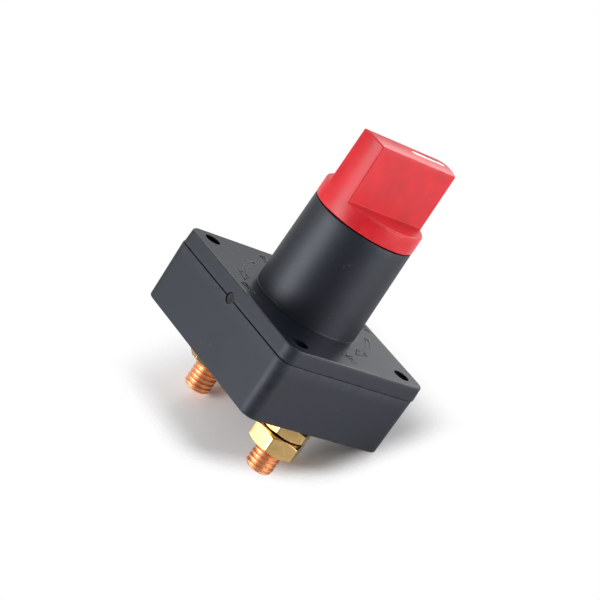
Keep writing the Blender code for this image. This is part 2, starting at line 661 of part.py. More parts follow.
def slot_outline(half, y0, y1, steps=8):
    """Slot along Y with round ends."""
    points = []
    for k in range(steps + 1):
        turn = math.pi * k / steps
        points.append((half * math.cos(turn), y1 + half * math.sin(turn)))
    for k in range(steps + 1):
        turn = math.pi + math.pi * k / steps
        points.append((half * math.cos(turn), y0 + half * math.sin(turn)))
    return points


def build_pointer_inlay(mat):
    """White strip in the pointer groove on the crown."""
    outline = slot_outline(MARK_HALF, MARK_Y0 + MARK_HALF, MARK_Y1 - MARK_HALF)
    bm = bmesh.new()
    loft(bm, [(outline, BAR_TOP - MARK_DEPTH + GAP), (outline, BAR_TOP - 0.1 * MM)])
    return to_object("pointer_inlay", bm, mat, SKIRT_BOTTOM)


def build_stem_seal(mat):
    """Rubber ring in the groove of the stem."""
    bm = bmesh.new()
    torus(bm, STEM_R - GAP / 2 - STEM_SEAL_WIRE + 0.1 * MM, STEM_SEAL_WIRE, STEM_SEAL_Z)
    seal = to_object("stem_seal", bm, mat, STEM_SEAL_Z)
    smooth(seal, 70)
    return seal


def build_thrust_washer(mat):
    """Plastic washer between the bearing sleeve and the knob."""
    low = SLEEVE_TOP + GAP
    high = SKIRT_BOTTOM + 0.3 * MM
    inner_r = STEM_R + 0.6 * MM
    outer_r = SLEEVE_R1 - 0.2 * MM
    bm = bmesh.new()
    spin(bm, [(inner_r, low), (outer_r, low), (outer_r, high), (inner_r, high)], MEDIUM_STEPS - 8)
    washer = to_object("thrust_washer", bm, mat, low)
    smooth(washer)
    return washer


def build_knob_insert(mat):
    """Threaded brass insert, with two grooves that hold it in the stem."""
    low, high = INSERT_Z
    neck = INSERT_R - INSERT_GROOVE
    profile = [(SCREW_R + GAP, low), (INSERT_R, low)]
    for start in (low + 2.4 * MM, high - 2.8 * MM):
        end = start + INSERT_GROOVE_W
        profile += [(INSERT_R, start), (neck, start + INSERT_GROOVE)]
        profile += [(neck, end - INSERT_GROOVE), (INSERT_R, end)]
    profile += [(INSERT_R, high), (SCREW_R + GAP, high)]
    bm = bmesh.new()
    spin(bm, profile, RING_STEPS)
    insert = to_object("knob_insert", bm, mat, low)
    smooth(insert)
    return insert


def build_drive_screw(mat):
    """Screw from below, through the cam into the insert, with a hexagon socket."""
    head_z, under_z, tip_z = SCREW_Z
    edge = 0.4 * MM
    bm = bmesh.new()
    spin(bm, [(0.0, head_z), (SCREW_HEAD_R - edge, head_z), (SCREW_HEAD_R, head_z + edge),
              (SCREW_HEAD_R, under_z), (SCREW_R, under_z), (SCREW_R, tip_z - edge), (SCREW_R - edge, tip_z),
              (0.0, tip_z)], RING_STEPS)
    screw = to_object("drive_screw", bm, mat, head_z)
    bm = bmesh.new()
    rod(bm, 2.3 * MM, head_z - MM, head_z + 1.6 * MM, 6)
    combine(screw, to_object("cut_screw_socket", bm), "DIFFERENCE")
    smooth(screw)
    return screw


# Cam and carrier

def build_drive_cam(mat):
    """Rotor: disc with two screw ramps below, hub with square socket and stop lug above."""
    low, high = CAM_Z
    bm = bmesh.new()
    spin(bm, [(0.0, low), (CAM_R, low), (CAM_R, high), (HUB_R, high), (HUB_R, HUB_TOP), (0.0, HUB_TOP)],
         MEDIUM_STEPS)
    cam = to_object("drive_cam", bm, mat, low)

    bm = bmesh.new()
    ramps(bm, *RAMP_R, lambda turn: low - RAMP_STEP - RISE_PER_RAD * turn, low + MM)
    combine(cam, to_object("add_cam_ramps", bm), "UNION")

    bm = bmesh.new()
    sector(bm, HUB_R - 2 * MM, LUG_R, high - MM, LUG_TOP, LUG_AT - LUG_ANGLE / 2, LUG_ANGLE, 6)
    combine(cam, to_object("add_cam_lug", bm), "UNION")

    bm = bmesh.new()
    head_r = SCREW_HEAD_R + GAP + 0.1 * MM
    bore, seat = SCREW_R + GAP, SCREW_Z[1] + GAP
    spin(bm, [(0.0, low - MM), (head_r, low - MM), (head_r, seat), (bore, seat), (bore, DRIVE_BOTTOM),
              (0.0, DRIVE_BOTTOM)], SMALL_STEPS)
    combine(cam, to_object("cut_cam_screw", bm), "DIFFERENCE")

    bm = bmesh.new()
    square = rounded_rectangle((DRIVE_HALF + GAP, DRIVE_HALF + GAP), DRIVE_CORNER, 4)
    loft(bm, [(square, DRIVE_BOTTOM - RUN), (square, HUB_TOP + MM)])
    combine(cam, to_object("cut_cam_socket", bm), "DIFFERENCE")
    smooth(cam)
    return cam


def build_contact_carrier(mat):
    """Follower: matching ramps above, window for the bridge, spring pocket and two guide keys."""
    low, high = CARRIER_Z
    cam_low = CAM_Z[0]
    hub_r = RAMP_R[0] - 0.8 * MM
    bm = bmesh.new()
    edge = 0.5 * MM
    spin(bm, [(0.0, low), (CARRIER_R - edge, low), (CARRIER_R, low + edge), (CARRIER_R, high), (hub_r, high),
              (hub_r, POCKET_TOP + POCKET_ROOF), (0.0, POCKET_TOP + POCKET_ROOF)], MEDIUM_STEPS)
    carrier = to_object("contact_carrier", bm, mat, low)

    bm = bmesh.new()
    ramps(bm, *RAMP_R, lambda turn: cam_low - RAMP_STEP - GAP - RISE_PER_RAD * turn, high - MM)
    combine(carrier, to_object("add_carrier_ramps", bm), "UNION")

    bm = bmesh.new()
    for side in (-1, 1):
        ys = sorted((side * (CARRIER_R - 2 * MM), side * KEY_Y))
        block(bm, (-KEY_HALF, ys[0], low + 0.3 * MM), (KEY_HALF, ys[1], high - 0.3 * MM))
    combine(carrier, to_object("add_carrier_keys", bm), "UNION")

    bm = bmesh.new()
    reach, window_y = CARRIER_R + MM, BRIDGE_HALF[1] + GAP
    block(bm, (-reach, -window_y, WINDOW_Z[0]), (reach, window_y, WINDOW_Z[1]))
    combine(carrier, to_object("cut_carrier_window", bm), "DIFFERENCE")

    bm = bmesh.new()
    rod(bm, POCKET_R, WINDOW_Z[1] - MM, POCKET_TOP, SMALL_STEPS)
    combine(carrier, to_object("cut_carrier_pocket", bm), "DIFFERENCE")
    smooth(carrier)
    return carrier


def build_contact_bridge(mat):
    """Copper bar with coined contact pads below its ends and a spring boss on top."""
    low, high = BRIDGE_Z
    bm = bmesh.new()
    edge = 0.3 * MM
    full = rounded_rectangle(BRIDGE_HALF, 3.0 * MM, 4)
    small = rounded_rectangle((BRIDGE_HALF[0] - edge, BRIDGE_HALF[1] - edge), 2.7 * MM, 4)
    loft(bm, [(small, low), (full, low + edge), (full, high - edge), (small, high)])
    bridge = to_object("contact_bridge", bm, mat, low)
    bm = bmesh.new()
    for side in (-1, 1):
        centre = (side * STUD_X, 0.0)
        pad = circle(PAD_R, RING_STEPS, centre)
        loft(bm, [(circle(PAD_R - PAD_H, RING_STEPS, centre), low - PAD_H), (pad, low), (pad, low + MM)])
    knop = circle(KNOP_R, RING_STEPS)
    knop_top = circle(KNOP_R - edge, RING_STEPS)
    loft(bm, [(knop, high - MM), (knop, high + KNOP_H - edge), (knop_top, high + KNOP_H)])
    combine(bridge, to_object("add_bridge_pads", bm), "UNION")
    smooth(bridge)
    return bridge


def build_springs(mat):
    """Contact spring above the bridge and return spring below the carrier."""
    bm = bmesh.new()
    coil(bm, CONTACT_SPRING[0], CONTACT_SPRING[1], BRIDGE_Z[1] + GAP, POCKET_TOP - GAP, CONTACT_SPRING[2])
    contact = to_object("contact_spring", bm, mat, POCKET_TOP)
    bm = bmesh.new()
    coil(bm, RETURN_SPRING[0], RETURN_SPRING[1], SPRING_SEAT_Z + GAP, CARRIER_Z[0] - GAP, RETURN_SPRING[2])
    back = to_object("return_spring", bm, mat, SPRING_SEAT_Z)
    for spring in (contact, back):
        smooth(spring, 70)


def main():
    for obj in list(bpy.data.objects):
        bpy.data.objects.remove(obj, do_unlink=True)

    black = material("black_plastic", (0.022, 0.024, 0.028), 0.48)
    red = material("red_plastic", (0.72, 0.035, 0.045), 0.38)
    white = material("white_paint", (0.86, 0.86, 0.84), 0.5)
    copper = material("copper", (0.86, 0.42, 0.24), 0.28, 1.0)
    brass = material("brass", (0.83, 0.64, 0.32), 0.26, 1.0)
    rubber = material("black_rubber", (0.02, 0.02, 0.02), 0.8)
    nylon = material("natural_nylon", (0.74, 0.71, 0.62), 0.5)
    steel = material("zinc_steel", (0.62, 0.63, 0.65), 0.3, 1.0)

    build_terminal_box(black)
    build_cover(black)
    build_cover_seal(rubber)
    build_locking_pin("locking_pin_front", -1, black)
    build_locking_pin("locking_pin_back", 1, black)

    for word, side in (("left", -1), ("right", 1)):
        inner_turn, outer_turn = NUT_TURNS[word]
        inner_top = -GAP - NUT_LOWERED[word]
        outer_top = inner_top - INNER_NUT_H - GAP
        build_stud("stud_" + word, side, copper)
        build_stud_seal("stud_seal_" + word, side, rubber)
        build_nut("inner_nut_" + word, side, inner_top, INNER_NUT_H, inner_turn, brass)
        build_nut("outer_nut_" + word, side, outer_top, OUTER_NUT_H, outer_turn, brass)

    build_knob(red)
    build_pointer_inlay(white)
    build_stem_seal(rubber)
    build_thrust_washer(nylon)
    build_knob_insert(brass)
    build_drive_screw(steel)
    build_drive_cam(nylon)
    build_contact_carrier(nylon)
    build_contact_bridge(copper)
    build_springs(steel)


main()
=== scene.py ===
# %% [markdown]
# # A rotary battery disconnect switch
#
# This lesson dresses a measured model of a battery switch. The switch has a black flange base with
# a tall round tower, a red grip knob that turns a quarter turn, and two threaded copper studs with
# brass nuts below. The measured model has the right sizes but coarse facets and plain colours.
# Here each visible piece is drawn again as a fine surface, worked out with numpy, and then gets a
# procedural finish. The hidden pieces inside keep their measured mesh and only get a finish.

# %% Load the measured model
import math

import bmesh
import bpy
import numpy as np
from mathutils import Matrix


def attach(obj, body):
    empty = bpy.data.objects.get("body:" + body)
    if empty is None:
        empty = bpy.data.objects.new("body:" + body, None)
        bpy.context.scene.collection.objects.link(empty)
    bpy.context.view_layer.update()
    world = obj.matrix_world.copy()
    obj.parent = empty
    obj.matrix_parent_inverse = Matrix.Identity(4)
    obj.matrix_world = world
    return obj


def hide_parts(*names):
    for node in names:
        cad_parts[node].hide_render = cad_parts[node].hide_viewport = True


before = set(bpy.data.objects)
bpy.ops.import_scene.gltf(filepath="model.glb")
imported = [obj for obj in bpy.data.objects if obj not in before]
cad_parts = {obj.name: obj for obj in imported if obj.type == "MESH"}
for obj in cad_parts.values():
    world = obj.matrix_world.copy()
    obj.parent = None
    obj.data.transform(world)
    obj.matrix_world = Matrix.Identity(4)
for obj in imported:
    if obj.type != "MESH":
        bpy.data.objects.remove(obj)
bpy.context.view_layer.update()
MM = 0.001
TAU = 2 * math.pi

# %% [markdown]
# ## Sizes
#
# Every piece is placed by the sizes that the real product has. Heights run along +Z, from the rear
# face of the terminal box at zero up to the crown of the knob. The two studs lie on the X axis. The
# grip bar lies along Y, and its white mark points to +Y in the OFF position.

# %% Sizes of the housing, the knob and the terminals
RIM_HALF = np.array([37.5, 32.3]) * MM        # half sizes of the outline at the parting groove
REAR_HALF = RIM_HALF - 0.25 * MM
PLATE_HALF = RIM_HALF - 0.15 * MM
CORNER_R = 4.9 * MM
BOX_TOP = 22.6 * MM
PLATE_LOW = 22.9 * MM
PLATE_TOP = 28.3 * MM
REAR_EDGE, RIM_EDGE, PLATE_EDGE = 0.7 * MM, 0.25 * MM, 0.5 * MM     # rounded edges, from the rear up
OFFSET = 0.25 * MM                            # the cover sits this far to +X and the box to -X
HOLE_AT = np.array([31.15, 24.5]) * MM
HOLE_R = 2.9 * MM
BOSS_R = 5.6 * MM
CAVITY_HALF = np.array([34.95, 29.5]) * MM
FLOOR_Z, LEDGE_Z = 4.0 * MM, 18.6 * MM        # inside of the box
SPRING_SEAT_R, SPRING_SEAT_Z = 6.3 * MM, 2.0 * MM
LIP_LOW, PLATE_UNDER = 19.9 * MM, 24.9 * MM   # inside of the cover
TOWER_R = (19.7 * MM, 19.1 * MM)              # at the foot and at the rim
TOWER_TOP = 63.9 * MM
TOWER_FOOT, TOWER_EDGE = 0.1 * MM, 0.4 * MM
PIN_R = 2.0 * MM
PIN_Y = (29.4 * MM, 31.95 * MM)               # back and face of a locking pin
PIN_Z = 22.75 * MM
SKIRT_Z = (64.3 * MM, 70.9 * MM)
SKIRT_R = (19.15 * MM, 19.10 * MM)
SKIRT_FOOT, SKIRT_EDGE = 0.35 * MM, 0.9 * MM
BAR_TOP = 93.0 * MM
BAR_HALF = (6.55 * MM, 6.15 * MM)             # at the foot and at the crown
BAR_FOOT, BAR_EDGE, BAR_CORNER = 0.35 * MM, 0.38 * MM, 0.42 * MM
CROWN_R = 27.0 * MM
MARK_Y = (0.1 * MM, 16.9 * MM)
MARK_HALF = 1.15 * MM
MARK_GAP = 0.12 * MM
STUD_X = 23.25 * MM
STUD_R = 5.0 * MM
STUD_TIP = -23.5 * MM
THREAD_PITCH = 1.8 * MM
THREAD_DEPTH = 0.58 * MM
HEAD_HALF = np.array([8.0, 8.5]) * MM
NUT_AF = 17.0 * MM
NUT_BORE = 5.3 * MM
NUT_FACE_R = 7.9 * MM
NUT_HEIGHTS = (5.2 * MM, 7.1 * MM)            # inner and outer nut
NUT_TOPS = {"left": (-0.3 * MM, -5.8 * MM), "right": (-1.9 * MM, -7.4 * MM)}
NUT_TURNS = {"left": (0.38, 0.70), "right": (0.10, 0.118)}      # as each was tightened, in radians

# %% [markdown]
# ## Meshes from grids of points
#
# A surface is a grid of points: one direction runs along the piece, the other runs round it. numpy
# computes all the points at once, and neighbouring points are joined by four-sided faces. Where a
# row shrinks to one point, its copies are merged, so a pole closes cleanly.

# %% Grid helpers
def grid_faces(rows, columns, close_rows=False):
    """Four-sided faces of a grid whose point (i, j) has the number i * columns + j; the columns
    always join up into rings, and the last row joins the first where close_rows is set."""
    i, j = np.meshgrid(np.arange(rows if close_rows else rows - 1), np.arange(columns), indexing="ij")
    after_i, after_j = (i + 1) % rows, (j + 1) % columns
    corners = (i * columns + j, i * columns + after_j, after_i * columns + after_j, after_i * columns + j)
    return np.stack(corners, axis=-1).reshape(-1, 4)


def mesh_from(name, grids):
    """One mesh from several closed grids, given as pairs of (points, close_rows)."""
    points, faces, start = [], [], 0
    for grid, close_rows in grids:
        rows, columns = grid.shape[:2]
        points.append(grid.reshape(-1, 3))
        faces.append(grid_faces(rows, columns, close_rows) + start)
        start += rows * columns
    mesh = bpy.data.meshes.new(name)
    mesh.from_pydata(np.concatenate(points).tolist(), [], np.concatenate(faces).tolist())
    bm = bmesh.new()
    bm.from_mesh(mesh)
    bmesh.ops.remove_doubles(bm, verts=bm.verts, dist=1e-7)
    bmesh.ops.dissolve_degenerate(bm, edges=bm.edges, dist=1e-8)
    bmesh.ops.recalc_face_normals(bm, faces=bm.faces)
    bm.to_mesh(mesh)
    bm.free()
    return mesh


def read(items, field, width=1, kind=float):
    """One field of many mesh items as an array, with one row per item."""
    values = np.empty(len(items) * width, dtype=kind)
    items.foreach_get(field, values)
    return values.reshape(-1, width) if width > 1 else values


def add_attribute(mesh, name, values):
    """New attribute with one number per point."""
    mesh.attributes.new(name, "FLOAT", "POINT").data.foreach_set("value", values)


def mark_edges(mesh, full=14.0):
    """Point attribute "edge": the sharpest outward turn between the faces round a point, from 0 on
    flat ground to 1 where they turn by full degrees or more."""
    loop_edge = read(mesh.loops, "edge_index", kind=np.int32)
    totals = read(mesh.polygons, "loop_total", kind=np.int32)
    normal, centre = read(mesh.polygons, "normal", 3), read(mesh.polygons, "center", 3)
    ends = read(mesh.edges, "vertices", 2, np.int32)
    face = np.repeat(np.arange(len(totals)), totals)
    order = np.argsort(loop_edge, kind="stable")
    edge, face = loop_edge[order], face[order]
    pair = np.flatnonzero(edge[1:] == edge[:-1])
    one, two = face[pair], face[pair + 1]
    turn = np.degrees(np.arccos(np.clip((normal[one] * normal[two]).sum(1), -1, 1)))
    outward = ((centre[two] - centre[one]) * normal[one]).sum(1) < 0
    value = np.clip(turn * outward / full, 0, 1)
    at_point = np.zeros(len(mesh.vertices))
    np.maximum.at(at_point, ends[edge[pair]].ravel(), np.repeat(value, 2))
    add_attribute(mesh, "edge", at_point)


def link_object(name, data):
    """New object in the scene, at the origin."""
    item = bpy.data.objects.new(name, data)
    bpy.context.scene.collection.objects.link(item)
    return item


def add_piece(mesh, body, finish, nodes=(), sharp=38.0):
    """Put a finished mesh in the scene, on its body, in place of the measured nodes."""
    mesh.shade_smooth()
    mesh.set_sharp_from_angle(angle=math.radians(sharp))
    mark_edges(mesh)
    mesh.materials.clear()
    mesh.materials.append(finish)
    piece = link_object(mesh.name, mesh)
    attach(piece, body)
    if nodes:
        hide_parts(*nodes)
    print(f"{mesh.name}: {len(mesh.polygons)} faces")
    return piece


def carve(mesh, tools):
    """Cut closed tool meshes out of a mesh with an exact Boolean; the result takes over its name."""
    name = mesh.name
    mesh.name = name + "_raw"
    target = link_object("work", mesh)
    cutters = [link_object("tool", tool) for tool in tools]
    for cutter in cutters:
        step = target.modifiers.new("cut", "BOOLEAN")
        step.operation = "DIFFERENCE"
        step.solver = "EXACT"
        step.object = cutter
    graph = bpy.context.evaluated_depsgraph_get()
    result = bpy.data.meshes.new_from_object(target.evaluated_get(graph))
    for helper in cutters + [target]:
        bpy.data.objects.remove(helper, do_unlink=True)
    result.name = name
    return result


# %% [markdown]
# ## Outlines round the knob axis
#
# The housing is a rounded rectangle, and the tower is a circle. Both are written as a radius that
# depends on the angle round the axis. Because they share the same angles, a ring of one can be
# joined to a ring of the other, and the whole cover becomes one closed grid.

# %% Outline helpers
def outline_angles(fine=0.6, coarse=2.0):
    """Angles round the axis, close together at the four rounded corners."""
    quarter = np.concatenate([np.arange(0, 32, coarse), np.arange(32, 50, fine), np.arange(50, 90, coarse)])
    return np.radians(np.concatenate([quarter + 90 * k if k % 2 == 0 else 90 * (k + 1) - quarter[::-1]
                                      for k in range(4)]))


def box_radius(angle, half, corner, shift=0.0):
    """Distance from the axis to a rectangle with round corners. A ray meets a straight side at
    half / |cos| or half / |sin|; inside a corner square it meets the corner's circle instead. A
    shift along X makes the +X side stand further out than the -X side."""
    half = (half[0] + shift * np.sign(np.cos(angle)), half[1])
    c, s = np.abs(np.cos(angle)) + 1e-12, np.abs(np.sin(angle)) + 1e-12
    straight = np.minimum(half[0] / c, half[1] / s)
    cx, cy = half[0] - corner, half[1] - corner
    along = c * cx + s * cy
    arc = along + np.sqrt(np.maximum(along ** 2 - (cx ** 2 + cy ** 2 - corner ** 2), 0))
    in_corner = (straight * c > cx) & (straight * s > cy)
    return np.where(in_corner, arc, straight)


def cavity_radius(angle, inset):
    """Distance to the inside wall: a rectangle whose corners step round the four screw bosses."""
    c, s = np.abs(np.cos(angle)) + 1e-12, np.abs(np.sin(angle)) + 1e-12
    half = CAVITY_HALF - inset
    wall = np.minimum(half[0] / c, half[1] / s)
    along = c * HOLE_AT[0] + s * HOLE_AT[1]
    root = along ** 2 - (HOLE_AT @ HOLE_AT - (BOSS_R + inset) ** 2)
    boss = np.where(root > 0, along - np.sqrt(np.maximum(root, 0)), 1.0)
    return np.minimum(wall, boss)


def outside(half, inset, shift):
    """Outside of the housing: a rectangle of these half sizes, with its sides and corners moved in."""
    return box_radius(ANGLE, half - inset, CORNER_R - inset, shift)


def rings(angle, profile):
    """Grid of points from a list of (radius, height); a radius is one number or one per angle."""
    radius = np.stack([np.broadcast_to(r, angle.shape) for r, z in profile])
    height = np.stack([np.broadcast_to(z, angle.shape) for r, z in profile])
    return np.stack([radius * np.cos(angle), radius * np.sin(angle), height], axis=-1)


def rounding(size, steps):
    """Quarter circle for a rounded edge, as pairs size * (1 - cos), size * (1 - sin) of an angle; they
    go from (0, size) to (size, 0)."""
    return [(size * (1 - math.cos(turn)), size * (1 - math.sin(turn)))
            for turn in np.linspace(0, math.pi / 2, steps)]


def slope(start, end, shares):
    """Points at these shares of the straight way between two (radius, height) points."""
    return [tuple(a + share * (b - a) for a, b in zip(start, end)) for share in shares]


def in_mm(points):
    """Points given in millimetres, as metres."""
    return [tuple(value * MM for value in point) for point in points]


def laid_down(grid, side):
    """Turned grid with its axis along Y instead of Z, at the height of the locking pins."""
    return np.stack([grid[..., 0], side * grid[..., 2], grid[..., 1] + PIN_Z], axis=-1)


def beside_axis(grid, x, y=0.0):
    """Grid moved to another axis that is parallel to Z."""
    return grid + [x, y, 0.0]


ANGLE = outline_angles()
ROUND = np.linspace(0, TAU, 144, endpoint=False)
print("angles round the housing:", len(ANGLE))

# %% [markdown]
# ## Shared effects
#
# Three small effects return in several finishes. Grain is the fine texture that a mould leaves on
# plastic. Wear is the paler, smoother line along edges that hands and shelves have rubbed. Specks
# are the few grains of dust that any dark plastic collects. Each is a node group with named inputs,
# so every finish can use it with its own values.

# %% Node helpers
def new_group(name, inputs, outputs):
    """Empty shader node group with number sockets; returns the group and its two end nodes."""
    group = bpy.data.node_groups.new(name, "ShaderNodeTree")
    for label, value in inputs:
        socket = group.interface.new_socket(label, in_out="INPUT", socket_type="NodeSocketFloat")
        socket.default_value = value
    for label in outputs:
        group.interface.new_socket(label, in_out="OUTPUT", socket_type="NodeSocketFloat")
    return group, group.nodes.new("NodeGroupInput"), group.nodes.new("NodeGroupOutput")


def feed(tree, socket, value):
    """Link value to the socket if it is a socket itself, or else set the socket to it."""
    if isinstance(value, bpy.types.NodeSocket):
        tree.links.new(value, socket)
    else:
        socket.default_value = value


def fill(tree, node, **values):
    """Feed a node's inputs by name; underscores in a name stand for spaces."""
    for label, value in values.items():
        feed(tree, node.inputs[label.replace("_", " ")], value)
    return node


def add_node(tree, kind, **values):
    """New shader node of a kind, with its inputs filled."""
    return fill(tree, tree.nodes.new("ShaderNode" + kind), **values)


def math_node(tree, operation, one, two=0.0, clamp=False):
    """Math node; one and two are numbers or sockets."""
    node = add_node(tree, "Math")
    node.operation, node.use_clamp = operation, clamp
    for socket, value in zip(node.inputs, (one, two)):
        feed(tree, socket, value)
    return node.outputs[0]


def vector_node(tree, operation, vector, fixed):
    """Number from a vector socket and a fixed vector: their DOT_PRODUCT or their DISTANCE."""
    node = add_node(tree, "VectorMath")
    node.operation = operation
    feed(tree, node.inputs[0], vector)
    feed(tree, node.inputs[1], tuple(fixed))
    return node.outputs["Value"]


def mix(tree, factor, one, two, colours=True):
    """Blend of two colours, or of two numbers; each can be a socket."""
    node = add_node(tree, "Mix")
    node.data_type = "RGBA" if colours else "FLOAT"
    numbers = (0, 6, 7) if colours else (0, 2, 3)
    for number, value in zip(numbers, (factor, one, two)):
        feed(tree, node.inputs[number], (*value, 1.0) if isinstance(value, tuple) else value)
    return node.outputs[2 if colours else 0]


def noise(tree, vector, scale, detail=3.0, rough=0.55):
    """Noise value at object coordinates; scale is a number or a socket."""
    node = add_node(tree, "TexNoise", Vector=vector, Scale=scale, Detail=detail, Roughness=rough)
    return node.outputs["Fac"]


def ramp(tree, value, low, high, out_low=0.0, out_high=1.0):
    """Straight ramp: value from low to high becomes out_low to out_high, and stops there."""
    return add_node(tree, "MapRange", Value=value, From_Min=low, From_Max=high,
                    To_Min=out_low, To_Max=out_high).outputs["Result"]


def object_vector(tree):
    """Object coordinates: the pattern stays on the piece when it moves."""
    return add_node(tree, "TexCoord").outputs["Object"]


def point_attribute(tree, name):
    """Number that the mesh holds at each point."""
    node = add_node(tree, "Attribute")
    node.attribute_name = name
    return node.outputs["Fac"]


# %% The grain, wear and speck groups
def make_grain():
    """Mould grain: two sizes of noise added; Height drives a bump, Tone drives colour."""
    group, start, end = new_group("mould_grain", (("Scale", 2500.0), ("Cloud Scale", 90.0)),
                                  ("Height", "Tone"))
    vector = object_vector(group)
    fine = noise(group, vector, start.outputs["Scale"], 2.0, 0.7)
    medium = noise(group, vector, math_node(group, "MULTIPLY", start.outputs["Scale"], 0.37), 2.0)
    both = math_node(group, "ADD", math_node(group, "MULTIPLY", fine, 0.55),
                     math_node(group, "MULTIPLY", medium, 0.45))
    fill(group, end, Height=both, Tone=noise(group, vector, start.outputs["Cloud Scale"], 4.0))
    return group


def make_wear():
    """Rubbed edges: the point attribute "edge", broken up by noise and scaled by Amount."""
    group, start, end = new_group("edge_wear", (("Amount", 0.5), ("Scale", 400.0)), ("Mask",))
    broken = ramp(group, noise(group, object_vector(group), start.outputs["Scale"], 3.0), 0.35, 0.62)
    worn = math_node(group, "MULTIPLY", point_attribute(group, "edge"), broken)
    fill(group, end, Mask=math_node(group, "MULTIPLY", worn, start.outputs["Amount"], clamp=True))
    return group


def make_specks():
    """Dust: the heart of a few Voronoi cells, picked by a slow noise."""
    group, start, end = new_group("dust_specks", (("Scale", 260.0), ("Size", 0.10), ("Amount", 1.0)),
                                  ("Mask",))
    vector = object_vector(group)
    cells = add_node(group, "TexVoronoi", Vector=vector, Scale=start.outputs["Scale"])
    near = math_node(group, "LESS_THAN", cells.outputs["Distance"], start.outputs["Size"])
    picked = ramp(group, noise(group, vector, 120.0, 1.0), 0.56, 0.60)
    dots = math_node(group, "MULTIPLY", near, picked)
    fill(group, end, Mask=math_node(group, "MULTIPLY", dots, start.outputs["Amount"], clamp=True))
    return group


GRAIN, WEAR, SPECKS = make_grain(), make_wear(), make_specks()
print("effects:", GRAIN.name, WEAR.name, SPECKS.name)

# %% [markdown]
# ## Finishes
#
# The base and tower are glass-filled plastic: nearly black, with a fine satin grain that spreads
# the light. The knob is a smoother red plastic. Copper and brass are bright cut metal, so their
# colour is all reflection, and the cutting tool has left fine rings. Each finish is one Principled
# shader. The groups change its colour, roughness and bump from place to place.

# %% Finish helpers
DUST_COLOUR = (0.30, 0.30, 0.29)


def start_finish(name, colour, roughness, **plain):
    """New material with one Principled shader; plain holds further fixed socket values."""
    finish = bpy.data.materials.new(name)
    finish.use_nodes = True
    tree = finish.node_tree
    shader = tree.nodes["Principled BSDF"]
    return finish, tree, fill(tree, shader, Base_Color=(*colour, 1.0), Roughness=roughness, **plain)


def place_group(tree, group, **values):
    """Group node with its own input values."""
    node = add_node(tree, "Group")
    node.node_tree = group
    return fill(tree, node, **values)


def scaled(colour, share):
    """Colour made darker or brighter by a share, and never brighter than 1."""
    return tuple(min(share * part, 1.0) for part in colour)


def bump(tree, height, strength, distance):
    """Normal that is tilted by the slope of height; distance is in metres."""
    return add_node(tree, "Bump", Height=height, Strength=strength, Distance=distance).outputs["Normal"]


def moulded_plastic(name, colour, pale, rough, grain, bump_depth, wear=0.5, dust=0.6, **plain):
    """Moulded plastic: grain bump, cloudy colour and roughness, paler rubbed edges and dust specks."""
    finish, tree, shader = start_finish(name, colour, rough, **plain)
    texture = place_group(tree, GRAIN, Scale=grain)
    worn = place_group(tree, WEAR, Amount=wear).outputs["Mask"]
    dots = place_group(tree, SPECKS, Amount=dust).outputs["Mask"]
    tone = texture.outputs["Tone"]
    cloudy = mix(tree, ramp(tree, tone, 0.3, 0.7), scaled(colour, 0.86), scaled(colour, 1.14))
    fill(tree, shader, Base_Color=mix(tree, dots, mix(tree, worn, cloudy, pale), DUST_COLOUR),
         Roughness=ramp(tree, tone, 0.3, 0.7, rough - 0.04, rough + 0.05),
         Normal=bump(tree, texture.outputs["Height"], 1.0, bump_depth))
    return finish


def skin_by_height(finish, height, flat_rough, upper_rough):
    """Other roughness for the flat at one height and for all that stands above it, as on a part
    whose mould is polished there. The usual roughness stays below."""
    tree = finish.node_tree
    shader = tree.nodes["Principled BSDF"]
    z = add_node(tree, "SeparateXYZ", Vector=object_vector(tree)).outputs["Z"]
    above = math_node(tree, "SUBTRACT", z, height)
    upper = ramp(tree, above, 0.1 * MM, 0.4 * MM)
    flat = ramp(tree, math_node(tree, "ABSOLUTE", above), 0.1 * MM, 0.35 * MM, 1.0, 0.0)
    skin = shader.inputs["Roughness"].links[0].from_socket
    skin = mix(tree, upper, skin, upper_rough, colours=False)
    fill(tree, shader, Roughness=mix(tree, flat, skin, flat_rough, colours=False))


def cut_metal(name, colour, dark, rough, ring_scale, bump_depth):
    """Turned metal: fine rings along Z from a stretched noise, and dull stains in a cloudy noise."""
    finish, tree, shader = start_finish(name, colour, rough, Metallic=1.0)
    stretch = add_node(tree, "Mapping", Vector=object_vector(tree), Scale=(1.0, 1.0, ring_scale))
    marks = noise(tree, stretch.outputs["Vector"], 260.0, 4.0, 0.65)
    stains = noise(tree, object_vector(tree), 210.0, 4.0, 0.6)
    worn = place_group(tree, WEAR, Amount=0.5, Scale=700.0).outputs["Mask"]
    stained = mix(tree, ramp(tree, stains, 0.42, 0.72), colour, dark)
    uneven = math_node(tree, "ADD", ramp(tree, stains, 0.35, 0.75, rough - 0.05, rough + 0.10),
                       ramp(tree, marks, 0.3, 0.7, -0.03, 0.03))
    fill(tree, shader, Base_Color=mix(tree, worn, stained, scaled(colour, 1.1)), Roughness=uneven,
         Normal=bump(tree, marks, 0.6, bump_depth))
    return finish


def paint_crease_shade(finish, crease_shade):
    """Painted shade: a dark colour where the point attribute "crease" is high, with a border broken up by
    noise.
    """
    tree = finish.node_tree
    shader = tree.nodes["Principled BSDF"]
    uneven = math_node(tree, "MULTIPLY", noise(tree, object_vector(tree), 900.0), 0.5)
    dark = ramp(tree, math_node(tree, "ADD", point_attribute(tree, "crease"), uneven), 0.85, 1.05)
    colour = shader.inputs["Base Color"].links[0].from_socket
    fill(tree, shader, Base_Color=mix(tree, dark, colour, crease_shade))


